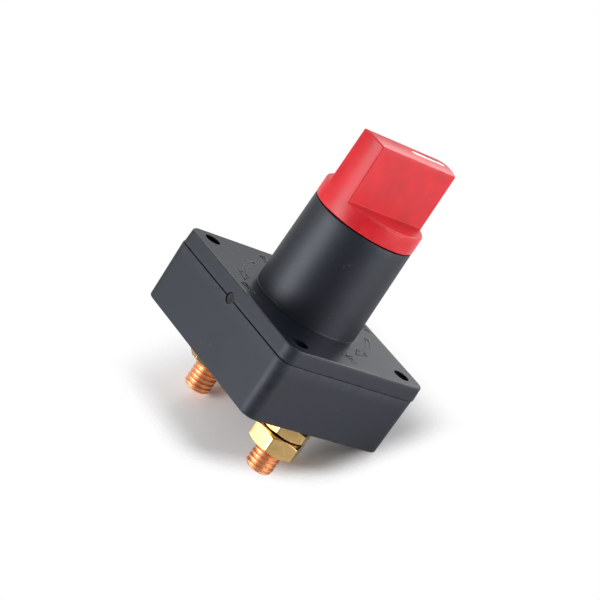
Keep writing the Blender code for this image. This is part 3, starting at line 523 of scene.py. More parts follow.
# %% The finishes of this switch
satin_black = moulded_plastic("satin_black_plastic", (0.009, 0.011, 0.0175), (0.050, 0.053, 0.060),
                              rough=0.52, grain=2400.0, bump_depth=0.03 * MM, wear=0.35, dust=0.08,
                              Specular_IOR_Level=0.58, Specular_Tint=(0.84, 0.89, 1.0, 1.0))
skin_by_height(satin_black, PLATE_TOP, flat_rough=0.26, upper_rough=0.47)
hole_wall = moulded_plastic("cored_hole", (0.005, 0.006, 0.009), (0.02, 0.02, 0.02), rough=0.9,
                            grain=2600.0, bump_depth=0.02 * MM, wear=0.0, dust=0.0, Specular_IOR_Level=0.12)
pin_black = moulded_plastic("pin_plastic", (0.007, 0.0085, 0.012), (0.03, 0.03, 0.035), rough=0.62,
                            grain=2000.0, bump_depth=0.03 * MM, wear=0.2, dust=0.0, Specular_IOR_Level=0.42)
knob_red = moulded_plastic("red_knob_plastic", (0.70, 0.012, 0.022), (0.78, 0.10, 0.11), rough=0.36,
                           grain=2200.0, bump_depth=0.008 * MM, wear=0.3, dust=0.12, Specular_IOR_Level=0.37)
mark_white = moulded_plastic("white_mark", (0.88, 0.88, 0.87), (0.92, 0.92, 0.92), rough=0.45,
                             grain=1800.0, bump_depth=0.006 * MM, dust=0.0)
seal_rubber = moulded_plastic("black_rubber", (0.02, 0.02, 0.02), (0.03, 0.03, 0.03), rough=0.8,
                              grain=1500.0, bump_depth=0.02 * MM)
plain_nylon = moulded_plastic("natural_nylon", (0.74, 0.71, 0.62), (0.85, 0.83, 0.76), rough=0.5,
                              grain=1500.0, bump_depth=0.01 * MM)
stud_copper = cut_metal("turned_copper", (0.98, 0.45, 0.23), (0.88, 0.36, 0.16), rough=0.42,
                        ring_scale=6.0, bump_depth=0.008 * MM)
nut_brass = cut_metal("cut_brass", (0.87, 0.59, 0.245), (0.70, 0.45, 0.17), rough=0.24,
                      ring_scale=5.0, bump_depth=0.006 * MM)
# Painted shade: a dark brown colour in the crease where the two nuts meet.
paint_crease_shade(nut_brass, (0.055, 0.030, 0.012))
zinc_steel = cut_metal("zinc_steel", (0.62, 0.63, 0.65), (0.42, 0.43, 0.45), rough=0.3,
                       ring_scale=5.0, bump_depth=0.01 * MM)
print("finishes:", len(bpy.data.materials))

# %% [markdown]
# ## The cover
#
# The cover is a plate with a round tower, moulded in one. Its section is a closed loop: up the side
# of the plate, over its rounded edge, across the top to the foot of the tower, up the drafted wall,
# over the rim, and back down inside along the bearing sleeve, the cam track and the register lip.
# That loop is carried round the axis. The screw holes are then cut with one Boolean.

# %% Cover surface
def round_tool(name, profile, centre=(0.0, 0.0)):
    """Closed turned body from (radius, height) pairs, for cutting holes."""
    grid = rings(ROUND[::3], [(0.0, profile[0][1])] + list(profile) + [(0.0, profile[-1][1])])
    return mesh_from(name, [(beside_axis(grid, *centre), False)])


def pin_seats():
    """Two short round tools across the parting groove, at the middle of the long sides."""
    seat_r, low, high = PIN_R + 0.07 * MM, 30.7 * MM, 35.0 * MM
    grid = rings(ROUND[::3], [(0.0, low), (seat_r, low), (seat_r, high), (0.0, high)])
    return [mesh_from("pin_seat", [(laid_down(grid, side), False)]) for side in (-1, 1)]


def cover_profile():
    """Closed section of the cover, as (radius, height) pairs from the parting groove outwards."""
    groove = box_radius(ANGLE, RIM_HALF - 0.45 * MM, CORNER_R - 0.2 * MM, OFFSET)
    profile = [(groove, PLATE_LOW)]
    profile += [(outside(RIM_HALF, inset, OFFSET), PLATE_LOW + rise)
                for rise, inset in rounding(RIM_EDGE, 4)]
    low, high = PLATE_LOW + RIM_EDGE, PLATE_TOP - PLATE_EDGE
    for share in (0.25, 0.5, 0.75):
        half = RIM_HALF + share * (PLATE_HALF - RIM_HALF)
        profile.append((outside(half, 0.0, OFFSET), low + share * (high - low)))
    profile += [(outside(PLATE_HALF, inset, OFFSET), PLATE_TOP - drop)
                for inset, drop in rounding(PLATE_EDGE, 7)]
    profile += [(outside(PLATE_HALF, inset, OFFSET), PLATE_TOP) for inset in (0.9 * MM, 2.0 * MM)]
    profile += slope(profile[-1], (TOWER_R[0] + TOWER_FOOT, PLATE_TOP), (0.35, 0.7, 0.9))
    profile += [(TOWER_R[0] + out, PLATE_TOP + rise) for rise, out in rounding(TOWER_FOOT, 6)]
    profile += slope((TOWER_R[0], PLATE_TOP + TOWER_FOOT), (TOWER_R[1], TOWER_TOP - TOWER_EDGE),
                     np.linspace(0.02, 1.0, 14))
    profile += [(TOWER_R[1] - inset, TOWER_TOP - drop) for inset, drop in rounding(TOWER_EDGE, 6)[1:]]
    # Inside: down the tower wall, up the bearing sleeve, down its bore, round the cam track
    profile += in_mm([(16.5, 63.9), (16.3, 63.7), (16.65, 31.0), (12.2, 31.0), (10.4, 63.5), (7.8, 63.5),
                      (7.8, 36.5), (9.2, 36.5), (9.2, 24.3), (16.3, 24.3), (16.3, 24.9)])
    lip, wall = cavity_radius(ANGLE, 1.6 * MM), cavity_radius(ANGLE, 0.3 * MM)
    return profile + [(lip, PLATE_UNDER), (lip, LIP_LOW), (wall, LIP_LOW), (wall, PLATE_LOW)]


HOLE_CENTRES = [(sx * HOLE_AT[0], sy * HOLE_AT[1]) for sx in (-1, 1) for sy in (-1, 1)]
mouth_r = HOLE_R + 0.05 * MM
screw_hole = [(HOLE_R, 15.0 * MM), (HOLE_R, PLATE_TOP - 0.08 * MM),
              (mouth_r, PLATE_TOP + 0.02 * MM), (mouth_r, PLATE_TOP + 0.10 * MM)]
screw_holes = [round_tool("hole", screw_hole, centre) for centre in HOLE_CENTRES]
cover_mesh = carve(mesh_from("cover_shell", [(rings(ANGLE, cover_profile()), True)]),
                   screw_holes + pin_seats())
add_piece(cover_mesh, "housing", satin_black, ["cover"])


def dull_holes(mesh):
    """Give the faces inside the screw holes the dull finish that a core pin leaves. They lie within
    the hole's radius and don't look straight up, as the plate does."""
    mesh.materials.append(hole_wall)
    reach = np.hypot(*(np.abs(read(mesh.polygons, "center", 3)[:, :2]) - HOLE_AT).T)
    steep = np.abs(read(mesh.polygons, "normal", 3)[:, 2]) < 0.9
    dull = (reach < HOLE_R + 0.04 * MM) & steep
    mesh.polygons.foreach_set("material_index", dull.astype(np.int32))
    print("dull faces in the screw holes:", int(dull.sum()))


dull_holes(cover_mesh)

# %% [markdown]
# ## The terminal box
#
# The box below the parting groove is an open tray, turned over: a drafted outside wall, a flat rear
# face with the two stud holes, and a hollow with a ledge for the seal. It is made in the same way,
# as one section carried round the axis, but its section starts and ends on the axis itself.

# %% Terminal box surface
def box_profile():
    """Section of the box from the centre of the rear face, up the outside and down the inside."""
    profile = [(0.0, 0.0), (12.0 * MM, 0.0), (outside(REAR_HALF, 2.5 * MM, -OFFSET), 0.0)]
    profile += [(outside(REAR_HALF, inset, -OFFSET), rise) for rise, inset in rounding(REAR_EDGE, 7)]
    for share in np.linspace(0.1, 1.0, 6):
        half = REAR_HALF + share * (RIM_HALF - REAR_HALF)
        profile.append((outside(half, 0.0, -OFFSET), REAR_EDGE + share * (BOX_TOP - RIM_EDGE - REAR_EDGE)))
    profile += [(outside(RIM_HALF, inset, -OFFSET), BOX_TOP - drop)
                for inset, drop in rounding(RIM_EDGE, 4)[1:]]
    outer, top = outside(RIM_HALF, 0.75 * MM, -OFFSET), PLATE_LOW - 0.03 * MM
    inner = outer - 0.5 * MM
    profile += [(outer, BOX_TOP), (outer, top), (inner, top), (inner, BOX_TOP)]
    wall, ledge = cavity_radius(ANGLE, 0.0), cavity_radius(ANGLE, 1.5 * MM)
    return profile + [(wall, BOX_TOP), (wall, LEDGE_Z), (ledge, LEDGE_Z), (ledge, FLOOR_Z),
                      (SPRING_SEAT_R, FLOOR_Z), (SPRING_SEAT_R, SPRING_SEAT_Z), (0.0, SPRING_SEAT_Z)]


stud_hole = in_mm([(5.45, -1.0), (5.3, 0.15), (5.3, 2.4), (7.05, 2.4), (7.05, 4.5)])
stud_holes = [round_tool("hole", stud_hole, (side * STUD_X, 0.0)) for side in (-1, 1)]
deep_hole = [(HOLE_R + 0.3 * MM, -0.2 * MM), (HOLE_R, 0.3 * MM), (HOLE_R, 24.0 * MM)]
deep_holes = [round_tool("hole", deep_hole, centre) for centre in HOLE_CENTRES]
box_mesh = carve(mesh_from("terminal_tray", [(rings(ANGLE, box_profile()), False)]),
                 stud_holes + deep_holes + pin_seats())
add_piece(box_mesh, "housing", satin_black, ["terminal_box"])

# %% [markdown]
# ## Locking pins
#
# A round pin sits across the parting groove at the middle of each long side. Only its end shows, as
# a small disc with a shallow dimple, a little below the wall.

# %% Locking pins
def pin_mesh(name, side):
    """Turned disc with a rounded rim and a dimple, laid on its side in the long wall."""
    back, face = PIN_Y
    rim = [(PIN_R, face - 0.2 * MM), (PIN_R - 0.06 * MM, face - 0.06 * MM), (PIN_R - 0.2 * MM, face)]
    dimple = [(r * MM, face - deep * MM) for r, deep in ((1.2, 0.0), (0.95, 0.12), (0.5, 0.2), (0.0, 0.22))]
    grid = rings(ROUND[::3], [(0.0, back), (PIN_R, back), *rim, *dimple])
    return mesh_from(name, [(laid_down(grid, side), False)])


for side, word in ((-1, "front"), (1, "back")):
    add_piece(pin_mesh("pin_end_" + word, side), "housing", pin_black,
              ["locking_pin_" + word])

# %% [markdown]
# ## Raised marks on the plate
#
# The plate carries thin raised lines: an outlined arrow on two sides of the tower, which show how
# the knob turns, and the words ON and OFF where the mark of the knob comes to rest. Each line is a
# low rounded rib. Its half round section is carried along a path on the plate.

# %% Rib helper
def smooth_path(points, closed, step=0.12 * MM):
    """Points along a polyline at even distances, with its corners softened by a short average."""
    points = np.asarray(points, dtype=float)
    if closed:
        points = np.vstack([points, points[:1]])
    lengths = np.concatenate([[0], np.cumsum(np.linalg.norm(np.diff(points, axis=0), axis=1))])
    count = max(int(lengths[-1] / step), 4)
    at = np.linspace(0, lengths[-1], count, endpoint=not closed)
    path = np.stack([np.interp(at, lengths, points[:, k]) for k in range(2)], axis=-1)
    if closed:
        return (np.roll(path, 1, axis=0) + path + np.roll(path, -1, axis=0)) / 3
    inner = (path[:-2] + path[1:-1] + path[2:]) / 3
    return np.vstack([path[:1], inner, path[-1:]])


def rib_grid(points, width, height, closed, base):
    """Rib along a path: across it the section is width/2 * cos(v) wide and height * sin(v) high,
    with v from 0 to pi; the ends of an open rib narrow along a half circle."""
    path = smooth_path(points, closed)
    ahead = np.roll(path, -1, axis=0) - np.roll(path, 1, axis=0)
    if not closed:
        ahead[0], ahead[-1] = path[1] - path[0], path[-1] - path[-2]
    ahead /= np.linalg.norm(ahead, axis=1, keepdims=True)
    across = np.stack([-ahead[:, 1], ahead[:, 0]], axis=-1)
    size = np.ones(len(path))
    if not closed:
        travelled = np.concatenate([[0], np.cumsum(np.linalg.norm(np.diff(path, axis=0), axis=1))])
        to_end = np.minimum(travelled, travelled[-1] - travelled) / (width / 2)
        size = np.sqrt(np.clip(1 - (1 - np.clip(to_end, 0.02, 1)) ** 2, 0, 1))
    v = np.linspace(0, math.pi, 8)
    offset = np.concatenate([np.cos(v), [-1, 1]]) * width / 2
    rise = np.concatenate([np.sin(v) * height, [-0.1 * MM, -0.1 * MM]])
    xy = path[:, None, :] + across[:, None, :] * (offset * size[:, None])[..., None]
    z = base + np.where(rise > 0, rise * size[:, None], rise)
    return np.concatenate([xy, z[..., None]], axis=-1)


def ribs_mesh(name, strokes, width, height, base=PLATE_TOP):
    """One mesh of many ribs; strokes is a list of (points, closed)."""
    grids = []
    for points, closed in strokes:
        grid = rib_grid(points, width, height, closed, base)
        if not closed:
            first, last = grid[:1].mean(axis=1, keepdims=True), grid[-1:].mean(axis=1, keepdims=True)
            ones = np.ones((1, grid.shape[1], 1))
            grid = np.concatenate([first * ones, grid, last * ones])
        grids.append((grid, closed))
    return mesh_from(name, grids)


# %% Arrows and words
def arc_points(radius, start, end, count=24):
    """Points of an arc on the plate, angles in degrees."""
    angle = np.radians(np.linspace(start, end, count))
    return np.stack([radius * np.cos(angle), radius * np.sin(angle)], axis=-1)


def arrow_outline():
    """Closed outline of a bent arrow that runs clockwise from 66 degrees to its tip at 13 degrees."""
    outer = arc_points(25.7 * MM, 66, 28)
    head = np.array([[23.97, 12.67], [25.51, 6.11], [21.51, 9.53]]) * MM
    inner = arc_points(24.2 * MM, 25.0, 66)
    return np.vstack([outer, head, inner])


def letter_strokes(word, centre, height):
    """Strokes of the capital letters O, N and F, upright, each 0.62 of its height wide."""
    width, space = 0.62 * height, 0.30 * height
    turn = np.linspace(0, TAU, 32, endpoint=False)
    shapes = {
        "O": [(np.stack([0.5 + 0.5 * np.cos(turn), 0.5 + 0.5 * np.sin(turn)], axis=-1), True)],
        "N": [([(0, 0), (0, 1), (1, 0), (1, 1)], False)],
        "F": [([(0, 0), (0, 1), (1, 1)], False), ([(0, 0.52), (0.8, 0.52)], False)],
    }
    total = len(word) * width + (len(word) - 1) * space
    strokes = []
    for place, letter in enumerate(word):
        left = centre[0] - total / 2 + place * (width + space)
        for points, closed in shapes[letter]:
            points = np.asarray(points, dtype=float) * [width, height] + [left, centre[1] - height / 2]
            strokes.append((points, closed))
    return strokes


right_arrow = arrow_outline()
left_arrow = -right_arrow[:, ::-1]
arrows = ribs_mesh("turn_arrows", [(right_arrow, True), (left_arrow, True)], 0.65 * MM, 0.24 * MM)
add_piece(arrows, "housing", satin_black)
words = []
for sign in (-1, 1):
    words += letter_strokes("ON", (sign * 30.35 * MM, 0.0), 2.7 * MM)
    words += letter_strokes("OFF", (0.1 * MM, sign * 28.03 * MM), 2.7 * MM)
words_mesh = ribs_mesh("position_words", words, 0.48 * MM, 0.22 * MM)
add_piece(words_mesh, "housing", satin_black)

# %% [markdown]
# ## The knob
#
# The knob is a round skirt with a grip bar across it. The skirt and the stem are turned. The bar is
# a stack of outlines: two flat drafted sides whose ends are arcs of the skirt's own circle, with
# small fillets where side and end meet. At its foot the outline flares into a hollow fillet, and at
# the top it rounds over into a low crown.

# %% Skirt and stem
def skirt_profile():
    """Half section of the skirt and stem from the foot of the stem to the centre of the top."""
    low, high = SKIRT_Z
    # Stem with the groove of its seal, its shoulder and the hollow underside of the skirt
    profile = in_mm([(0.0, 27.4), (5.0, 27.4), (5.0, 36.9), (7.5, 36.9), (7.5, 55.1), (5.95, 55.1),
                     (5.95, 57.5), (7.5, 57.5), (7.5, 64.9), (10.6, 64.9), (10.6, 68.0), (16.45, 68.0),
                     (16.45, 64.5), (16.6, 64.3)])
    profile += [(SKIRT_R[0] - inset, low + rise) for rise, inset in rounding(SKIRT_FOOT, 6)]
    profile.append((sum(SKIRT_R) / 2, (low + high) / 2))
    profile += [(SKIRT_R[1] - inset, high - drop) for inset, drop in rounding(SKIRT_EDGE, 9)]
    return profile + [(SKIRT_R[1] - 1.8 * MM, high), (12.0 * MM, high), (0.0, high)]


# %% Grip bar
def bar_outline(half, radius, fillet, side=22, corner=9, end=20):
    """Outline of the bar: flat sides at x = +-half, ends on a circle of the given radius. The small
    corner circle touches both; its centre lies fillet inside each of them."""
    half, radius, fillet = (np.asarray(v, dtype=float)[:, None] for v in (half, radius, fillet))
    cx = half - fillet
    cy = np.sqrt((radius - fillet) ** 2 - cx ** 2)
    lean = np.arctan2(cy, cx)
    t = np.linspace(-1, 1, side)[None, :-1]
    side_x, side_y = half + 0 * t, cy * t
    a = lean * np.linspace(0, 1, corner)[None, :-1]
    corner_x, corner_y = cx + fillet * np.cos(a), cy + fillet * np.sin(a)
    b = lean + (math.pi - 2 * lean) * np.linspace(0, 1, end)[None, :]
    end_x, end_y = radius * np.cos(b), radius * np.sin(b)
    x = np.concatenate([side_x, corner_x, end_x, -corner_x[:, ::-1]], axis=1)
    y = np.concatenate([side_y, corner_y, end_y, corner_y[:, ::-1]], axis=1)
    return np.concatenate([x, -x], axis=1), np.concatenate([y, -y], axis=1)


def crown_height(x):
    """Height of the crown over the middle plane: an arc of a large circle across the bar."""
    return BAR_TOP - CROWN_R + np.sqrt(CROWN_R ** 2 - x ** 2)


def bar_grid():
    """Rows of the bar from below the skirt's top, through the foot fillet, up the side, over the
    rounded edge and across the crown to its middle line."""
    base, top = SKIRT_Z[1], crown_height(BAR_HALF[1]) - BAR_EDGE
    rise, flare = np.array(rounding(BAR_FOOT, 9)).T
    heights = np.concatenate([[base - 1.1 * MM], base + rise, np.linspace(base + BAR_FOOT, top, 14)[1:]])
    flare = np.concatenate([[BAR_FOOT], flare, np.zeros(13)])
    share = np.clip((heights - base) / (top - base), 0, 1)
    half = BAR_HALF[0] + share * (BAR_HALF[1] - BAR_HALF[0]) + flare
    radius = SKIRT_R[1] - 0.02 * MM - share * 0.05 * MM
    x, y = bar_outline(half, radius, BAR_CORNER + flare)
    rows = [np.stack([x, y, np.broadcast_to(heights[:, None], x.shape)], axis=-1)]
    inset, drop = np.array(rounding(BAR_EDGE, 8)[1:]).T
    x, y = bar_outline(half[-1] - inset, radius[-1] - inset, BAR_CORNER - inset)
    rows.append(np.stack([x, y, crown_height(x) - drop[:, None]], axis=-1))
    keep = np.array([0.93, 0.75, 0.5, 0.25, 0.0])[:, None]
    x, y = x[-1] * keep, np.broadcast_to(y[-1], (len(keep), y.shape[1]))
    rows.append(np.stack([x, y, crown_height(x)], axis=-1))
    under = rows[0][:1] * [0.0, 1.0, 1.0]
    return np.concatenate([under, *rows])


def slot_outline(half, y_range, steps):
    """Outline of a slot: two half circles of radius half, joined by straight sides."""
    turn = np.linspace(0, math.pi, steps)
    x = np.concatenate([half * np.cos(turn), -half * np.cos(turn)])
    y = np.concatenate([y_range[1] - half + half * np.sin(turn), y_range[0] + half - half * np.sin(turn)])
    return x, y


def groove_tool():
    """Closed body that cuts the groove of the white mark out of the crown, a gap wider all round."""
    x, y = slot_outline(MARK_HALF + MARK_GAP, (MARK_Y[0] - MARK_GAP, MARK_Y[1] + MARK_GAP), 20)
    middle = sum(MARK_Y) / 2
    low, high = BAR_TOP - 0.9 * MM, BAR_TOP + 1.0 * MM
    rows = [np.stack([x * keep, middle + (y - middle) * keep, np.full(len(x), z)], axis=-1)
            for keep, z in ((0.0, low), (1.0, low), (1.0, high), (0.0, high))]
    return mesh_from("groove", [(np.stack(rows), False)])


bar_mesh = carve(mesh_from("grip_bar", [(bar_grid(), False)]), [groove_tool()])
joined = bmesh.new()
joined.from_mesh(mesh_from("knob_skirt", [(rings(ROUND, skirt_profile()), False)]))
joined.from_mesh(bar_mesh)
knob_mesh = bpy.data.meshes.new("grip_knob")
joined.to_mesh(knob_mesh)
joined.free()
add_piece(knob_mesh, "knob_set", knob_red, ["knob"], sharp=34.0)

# %% [markdown]
# ## The white mark
#
# The mark is a strip of white that fills most of a groove in the crown. It follows the crown, a
# little below the surface, so both edges of the groove stay visible as thin dark lines.

# %% White mark
def mark_mesh():
    """Slot-shaped strip whose top follows the crown, 0.1 mm below it."""
    x, y = slot_outline(MARK_HALF, MARK_Y, 16)
    middle = sum(MARK_Y) / 2
    rows = []
    section = ((0.0, 0.7), (1.0, 0.7), (1.0, 0.16), (0.97, 0.11), (0.9, 0.1), (0.5, 0.1), (0.0, 0.1))
    for keep, below in section:
        px, py = x * keep, middle + (y - middle) * (1 - (1 - keep) * 0.6)
        rows.append(np.stack([px, py, crown_height(px) - below * MM], axis=-1))
    rows[0][:, 1] = middle
    return mesh_from("white_pointer", [(np.stack(rows), False)])


add_piece(mark_mesh(), "knob_set", mark_white, ["pointer_inlay"])

# %% [markdown]
# ## The studs
#
# The thread is a surface of two parameters: the angle round the stud and the height. The radius at
# a point depends only on height / pitch - angle / full turn, whose fraction runs from one crest to
# the next. A trapezium of that fraction gives flat crests and rounded roots, and the end chamfer
# simply limits the radius.

# %% Threaded studs
def thread_radius(angle, z):
    """Crest radius minus the depth of a rounded trapezium in the fraction of a turn; near the tip a
    cone, the end chamfer, keeps it smaller."""
    phase = np.mod(z / THREAD_PITCH - angle / TAU, 1.0)
    flank = np.abs(phase - 0.5) * 2
    depth = np.clip((0.72 - flank) / 0.62, 0, 1)          # root up to 0.10, crest from 0.72 on
    depth = depth * depth * (3 - 2 * depth)
    radius = STUD_R - THREAD_DEPTH * depth
    chamfer = STUD_R - 1.0 * MM + (z - STUD_TIP) * 0.95
    return np.minimum(radius, chamfer)


def stud_mesh(name, side):
    """Threaded shank, closed by a slightly hollow tip, with a flat contact head inside the box."""
    angle = np.linspace(0, TAU, 96, endpoint=False)
    z = np.concatenate([[STUD_TIP], STUD_TIP + np.linspace(0.02, 1.0, 14) * MM,
                        np.arange(STUD_TIP + 1.08 * MM, 0.6 * MM, THREAD_PITCH / 20)])
    a, h = np.meshgrid(angle, z)
    radius = thread_radius(a, h)
    thread = np.stack([radius * np.cos(a), radius * np.sin(a), h], axis=-1)
    neck_r = STUD_R - 0.2 * MM
    plain = rings(angle, [(neck_r, 0.7 * MM), (neck_r, 5.0 * MM), (0.0, 5.0 * MM)])
    tip = rings(angle, [(0.0, STUD_TIP + 0.12 * MM), (0.3 * MM, STUD_TIP + 0.10 * MM),
                        (radius[0].mean() - 0.45 * MM, STUD_TIP + 0.02 * MM)])
    full = box_radius(angle, HEAD_HALF, 2.0 * MM)
    small = box_radius(angle, HEAD_HALF - 0.6 * MM, 1.4 * MM)
    low, edge, top = 4.3 * MM, 6.8 * MM, 7.4 * MM
    head = rings(angle, [(0.0, low), (full, low), (full, edge), (small, top), (0.0, top)])
    return mesh_from(name, [(beside_axis(grid, side * STUD_X), False)
                            for grid in (np.concatenate([tip, thread, plain]), head)])


for side, word in ((-1, "left"), (1, "right")):
    add_piece(stud_mesh("threaded_stud_" + word, side), "housing", stud_copper,
              ["stud_" + word], sharp=50.0)

# %% [markdown]
# ## The nuts
#
# A hexagon nut is a six-sided bar whose ends are turned to a shallow cone. Where the cone cuts the
# corners of the hexagon it leaves the curved edge that every nut has. In the formula, the wall
# stands at the hexagon's distance, and it ends lower the further that distance is from the axis.

# %% Hexagon nuts
def hexagon_outline(turn, fillet=0.12 * MM, steps=5, flats=9):
    """Radius and angle round a hexagon with slightly rounded corners."""
    reach = (NUT_AF / 2 - fillet) / math.cos(math.pi / 6)
    points = []
    for k in range(6):
        corner = turn + k * math.pi / 3
        a = corner + np.linspace(-math.pi / 6, math.pi / 6, steps)
        points.append(np.stack([reach * math.cos(corner) + fillet * np.cos(a),
                                reach * math.sin(corner) + fillet * np.sin(a)], axis=-1))
    full = []
    for k in range(6):
        start, end = points[k][-1], points[(k + 1) % 6][0]
        between = start + (end - start) * np.linspace(0, 1, flats)[1:-1, None]
        full += [points[k], between]
    xy = np.concatenate(full)
    return np.hypot(xy[:, 0], xy[:, 1]), np.arctan2(xy[:, 1], xy[:, 0])


def nut_mesh(name, side, top, height, turn):
    """Closed section loop. One end goes from the bore over countersink, face and cone to the wall,
    as (radius, distance from the end) pairs; the other end is its mirror image."""
    radius, angle = hexagon_outline(turn)
    drop = np.maximum(radius - NUT_FACE_R, 0) * math.tan(math.radians(30))
    face = np.minimum(radius - 0.02 * MM, NUT_FACE_R)
    sink, soft = 0.75 * MM, 0.06 * MM
    mouth = NUT_BORE + sink
    end = [(NUT_BORE, sink), (mouth - 0.05 * MM, 0.05 * MM), (mouth + 0.05 * MM, 0.0),
           (face - 0.3 * MM, 0.0), (face, 0.0), (radius - soft, drop - 0.3 * soft), (radius, drop + soft),
           (radius, drop + 0.4 * MM)]
    profile = [(r, top - height + z) for r, z in end] + [(r, top - z) for r, z in reversed(end)]
    return mesh_from(name, [(beside_axis(rings(angle, profile), side * STUD_X), True)])


def mark_crease(mesh, crease, reach=1.0 * MM):
    """Point attribute "crease": 1 at the height where the two nuts meet, 0 from reach away; it places the
    painted shade of that crease.
    """
    away = np.abs(read(mesh.vertices, "co", 3)[:, 2] - crease)
    add_attribute(mesh, "crease", np.clip(1 - away / reach, 0, 1))


for side, word in ((-1, "left"), (1, "right")):
    for name, turn, top, height in zip(("inner", "outer"), NUT_TURNS[word], NUT_TOPS[word], NUT_HEIGHTS):
        nut = nut_mesh(f"hex_nut_{name}_{word}", side, top, height, turn)
        mark_crease(nut, NUT_TOPS[word][1] + 0.15 * MM)
        add_piece(nut, "housing", nut_brass, [f"{name}_nut_{word}"], sharp=20.0)

# %% [markdown]
# ## Hidden pieces
#
# The seals, the cam, the carrier, the copper bridge and the springs are inside. Their measured mesh
# stays as it is, and each gets the finish of its material.

# %% Finishes of the hidden pieces
HIDDEN = (
    (seal_rubber, ("cover_seal", "stud_seal_left", "stud_seal_right", "stem_seal")),
    (plain_nylon, ("thrust_washer", "drive_cam", "contact_carrier")),
    (zinc_steel, ("drive_screw", "contact_spring", "return_spring")),
    (nut_brass, ("knob_insert",)),
    (stud_copper, ("contact_bridge",)),
)
for finish, nodes in HIDDEN:
    for node in nodes:
        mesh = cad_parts[node].data
        mesh.materials.clear()
        mesh.materials.append(finish)
    print(finish.name, "on", *nodes)

# %% [markdown]
# ## Camera
#
# The camera stands in front of the near corner, a little above the plate, and looks through a long
# lens. Its place and turn come from matching the straight edges and the round tower of the model
# with those in the picture. The switch lies on its stud tips and its rear edge, so the camera is
# turned with it.

# %% Camera
RIGHT = np.array([0.48094, 0.69195, 0.53842])
UP = np.array([-0.55573, -0.23439, 0.79763])
RIGHT /= np.linalg.norm(RIGHT)
UP -= RIGHT * (RIGHT @ UP)
UP /= np.linalg.norm(UP)
BACK = np.cross(RIGHT, UP)
CAMERA_AT = np.array([0.480544, -0.48845, 0.222661])


def set_place(item, right, up, back, place):
    """Turn an object's own X, Y and Z axes to three directions and move it to a place."""
    rows = np.column_stack([right, up, back, place]).tolist()
    item.matrix_world = Matrix(rows + [[0, 0, 0, 1]])


lens = bpy.data.cameras.new("camera")
lens.lens = 126.02
lens.sensor_width = 36.0
lens.clip_start = 0.01
camera = link_object("camera", lens)
set_place(camera, RIGHT, UP, BACK, CAMERA_AT)
bpy.context.scene.camera = camera
print("camera distance in m:", round(float(np.linalg.norm(CAMERA_AT)), 3))

# %% [markdown]
# ## Floor and light
#
# The switch rests on a white table. It touches it with the rims of the two stud tips and with the
# rear edge of the box, so the table is a plane through those lines. The light is a plain studio: a
# softbox on the left, a larger one on the right and one above and behind, in a pale room that is
# dark round the camera. Black plastic shows what it mirrors, so the room matters as much as the lamps.

# %% Floor
FLOOR_UP = np.array([0.0, -0.6470, 0.7625])
FLOOR_AT = np.array([0.0, 0.0320, 0.0])
FLOOR_U = np.array([1.0, 0.0, 0.0])
FLOOR_V = np.cross(FLOOR_UP, FLOOR_U)
FLOOR_MIDDLE = FLOOR_UP * (FLOOR_AT @ FLOOR_UP)


def floor_mesh(size=0.2, count=96):
    """Round flat disc in the table plane: middle + size * (cos(angle) * u + sin(angle) * v)."""
    angle = np.linspace(0, TAU, count, endpoint=False)[:, None]
    rim = FLOOR_MIDDLE + size * (np.cos(angle) * FLOOR_U + np.sin(angle) * FLOOR_V)
    mesh = bpy.data.meshes.new("table")
    mesh.from_pydata(rim.tolist(), [], [list(range(count))])
    if np.array(mesh.polygons[0].normal) @ FLOOR_UP < 0:
        mesh.flip_normals()
    return mesh


def floor_finish():
    """White table. For the camera it fades into the white background just outside the shadow: the
    share seen is a product of soft steps along the table's two axes u and v and along their
    diagonal. Other rays see it fade out further away, and from below it can't be seen at all."""
    finish, tree, shader = start_finish("white_table", (0.86, 0.86, 0.87), 0.5, Specular_IOR_Level=0.3)
    place = object_vector(tree)

    def step(axis, low, high):
        """Soft step from 1 to 0 along one direction, in metres from the middle of the table."""
        start = float(axis @ FLOOR_MIDDLE)
        along = vector_node(tree, "DOT_PRODUCT", place, axis)
        soft = ramp(tree, along, low + start, high + start, 1.0, 0.0)
        soft.node.interpolation_type = "SMOOTHSTEP"
        return soft

    near = step(FLOOR_U, 0.029, 0.043)
    for soft in (step(-FLOOR_U, 0.034, 0.060), step(FLOOR_V, 0.036, 0.060), step(-FLOOR_V, 0.024, 0.038),
                 step((FLOOR_U - FLOOR_V) * math.sqrt(0.5), 0.018, 0.031)):
        near = math_node(tree, "MULTIPLY", near, soft)
    wide = ramp(tree, vector_node(tree, "DISTANCE", place, FLOOR_MIDDLE), 0.075, 0.13, 1.0, 0.0)
    camera_ray = add_node(tree, "LightPath").outputs["Is Camera Ray"]
    from_below = add_node(tree, "NewGeometry").outputs["Backfacing"]
    seen = math_node(tree, "MULTIPLY", mix(tree, camera_ray, wide, near, colours=False),
                     math_node(tree, "SUBTRACT", 1.0, from_below))
    blend = add_node(tree, "MixShader", Fac=seen)
    feed(tree, blend.inputs[1], add_node(tree, "BsdfTransparent").outputs[0])
    feed(tree, blend.inputs[2], shader.outputs[0])
    fill(tree, tree.nodes["Material Output"], Surface=blend.outputs[0])
    return finish


table_mesh = floor_mesh()
table_mesh.materials.append(floor_finish())
table = link_object("table", table_mesh)
print("middle of the table in mm:", np.round(FLOOR_MIDDLE / MM, 2).tolist())

# %% Lights
LIT_POINT = np.array([0.0, 0.0, 0.035])       # middle of the switch


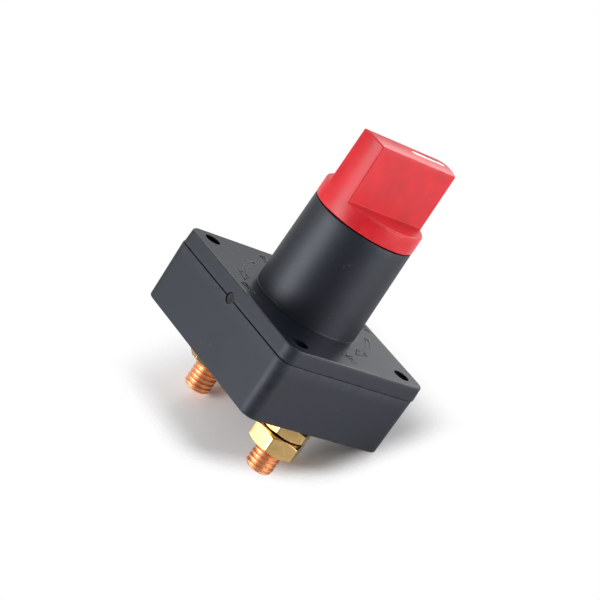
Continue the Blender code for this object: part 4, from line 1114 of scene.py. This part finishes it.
def camera_direction(right, up, back):
    """Direction given by its parts along the camera's right, up and back axes."""
    return right * RIGHT + up * UP + back * BACK


def softbox(name, direction, distance, size, power):
    """Rectangular area light that looks at the middle of the switch from a camera direction; its
    distance and its two sides are in metres, its power in watts."""
    lamp = bpy.data.lights.new(name, "AREA")
    lamp.shape = "RECTANGLE"
    lamp.size, lamp.size_y = size
    lamp.energy = power
    towards = camera_direction(*direction)
    towards /= np.linalg.norm(towards)
    side = np.cross(UP, towards)
    side /= np.linalg.norm(side)
    above, place = np.cross(towards, side), LIT_POINT + towards * distance
    set_place(link_object(name, lamp), side, above, towards, place)


softbox("left_box", (-0.897, 0.127, 0.435), distance=0.75, size=(0.36, 0.50), power=3.9)
softbox("right_box", (0.87, -0.30, 0.40), distance=0.90, size=(0.7, 0.8), power=6.0)
softbox("top_box", (0.53, 0.70, -0.46), distance=0.90, size=(0.5, 0.5), power=3.3)
print("lights:", [lamp.name for lamp in bpy.data.lights])

# %% World
DIM_CORNERS = (((-0.77, 0.36, -0.52), 0.92, 0.99, 0.30), ((0.20, 0.33, -0.92), 0.93, 0.985, 0.42))


def studio_world():
    """Pale room with a dark field round the camera and two dim corners at the back, each given as
    its camera direction, the cosines where it starts and is deepest, and the share of light left
    there. The camera itself sees white."""
    world = bpy.data.worlds.new("studio")
    world.use_nodes = True
    tree = world.node_tree
    direction = add_node(tree, "TexCoord").outputs["Generated"]
    room = ramp(tree, vector_node(tree, "DOT_PRODUCT", direction, -BACK), -0.82, -0.20, 0.16, 0.85)
    for towards, low, high, left in DIM_CORNERS:
        corner = vector_node(tree, "DOT_PRODUCT", direction, camera_direction(*towards))
        room = math_node(tree, "MULTIPLY", room, ramp(tree, corner, low, high, 1.0, left))
    strength = math_node(tree, "MAXIMUM", room, add_node(tree, "LightPath").outputs["Is Camera Ray"])
    fill(tree, tree.nodes["Background"], Color=(1.0, 1.0, 1.0, 1.0), Strength=strength)
    return world


bpy.context.scene.world = studio_world()
bpy.context.scene.view_settings.view_transform = "Standard"
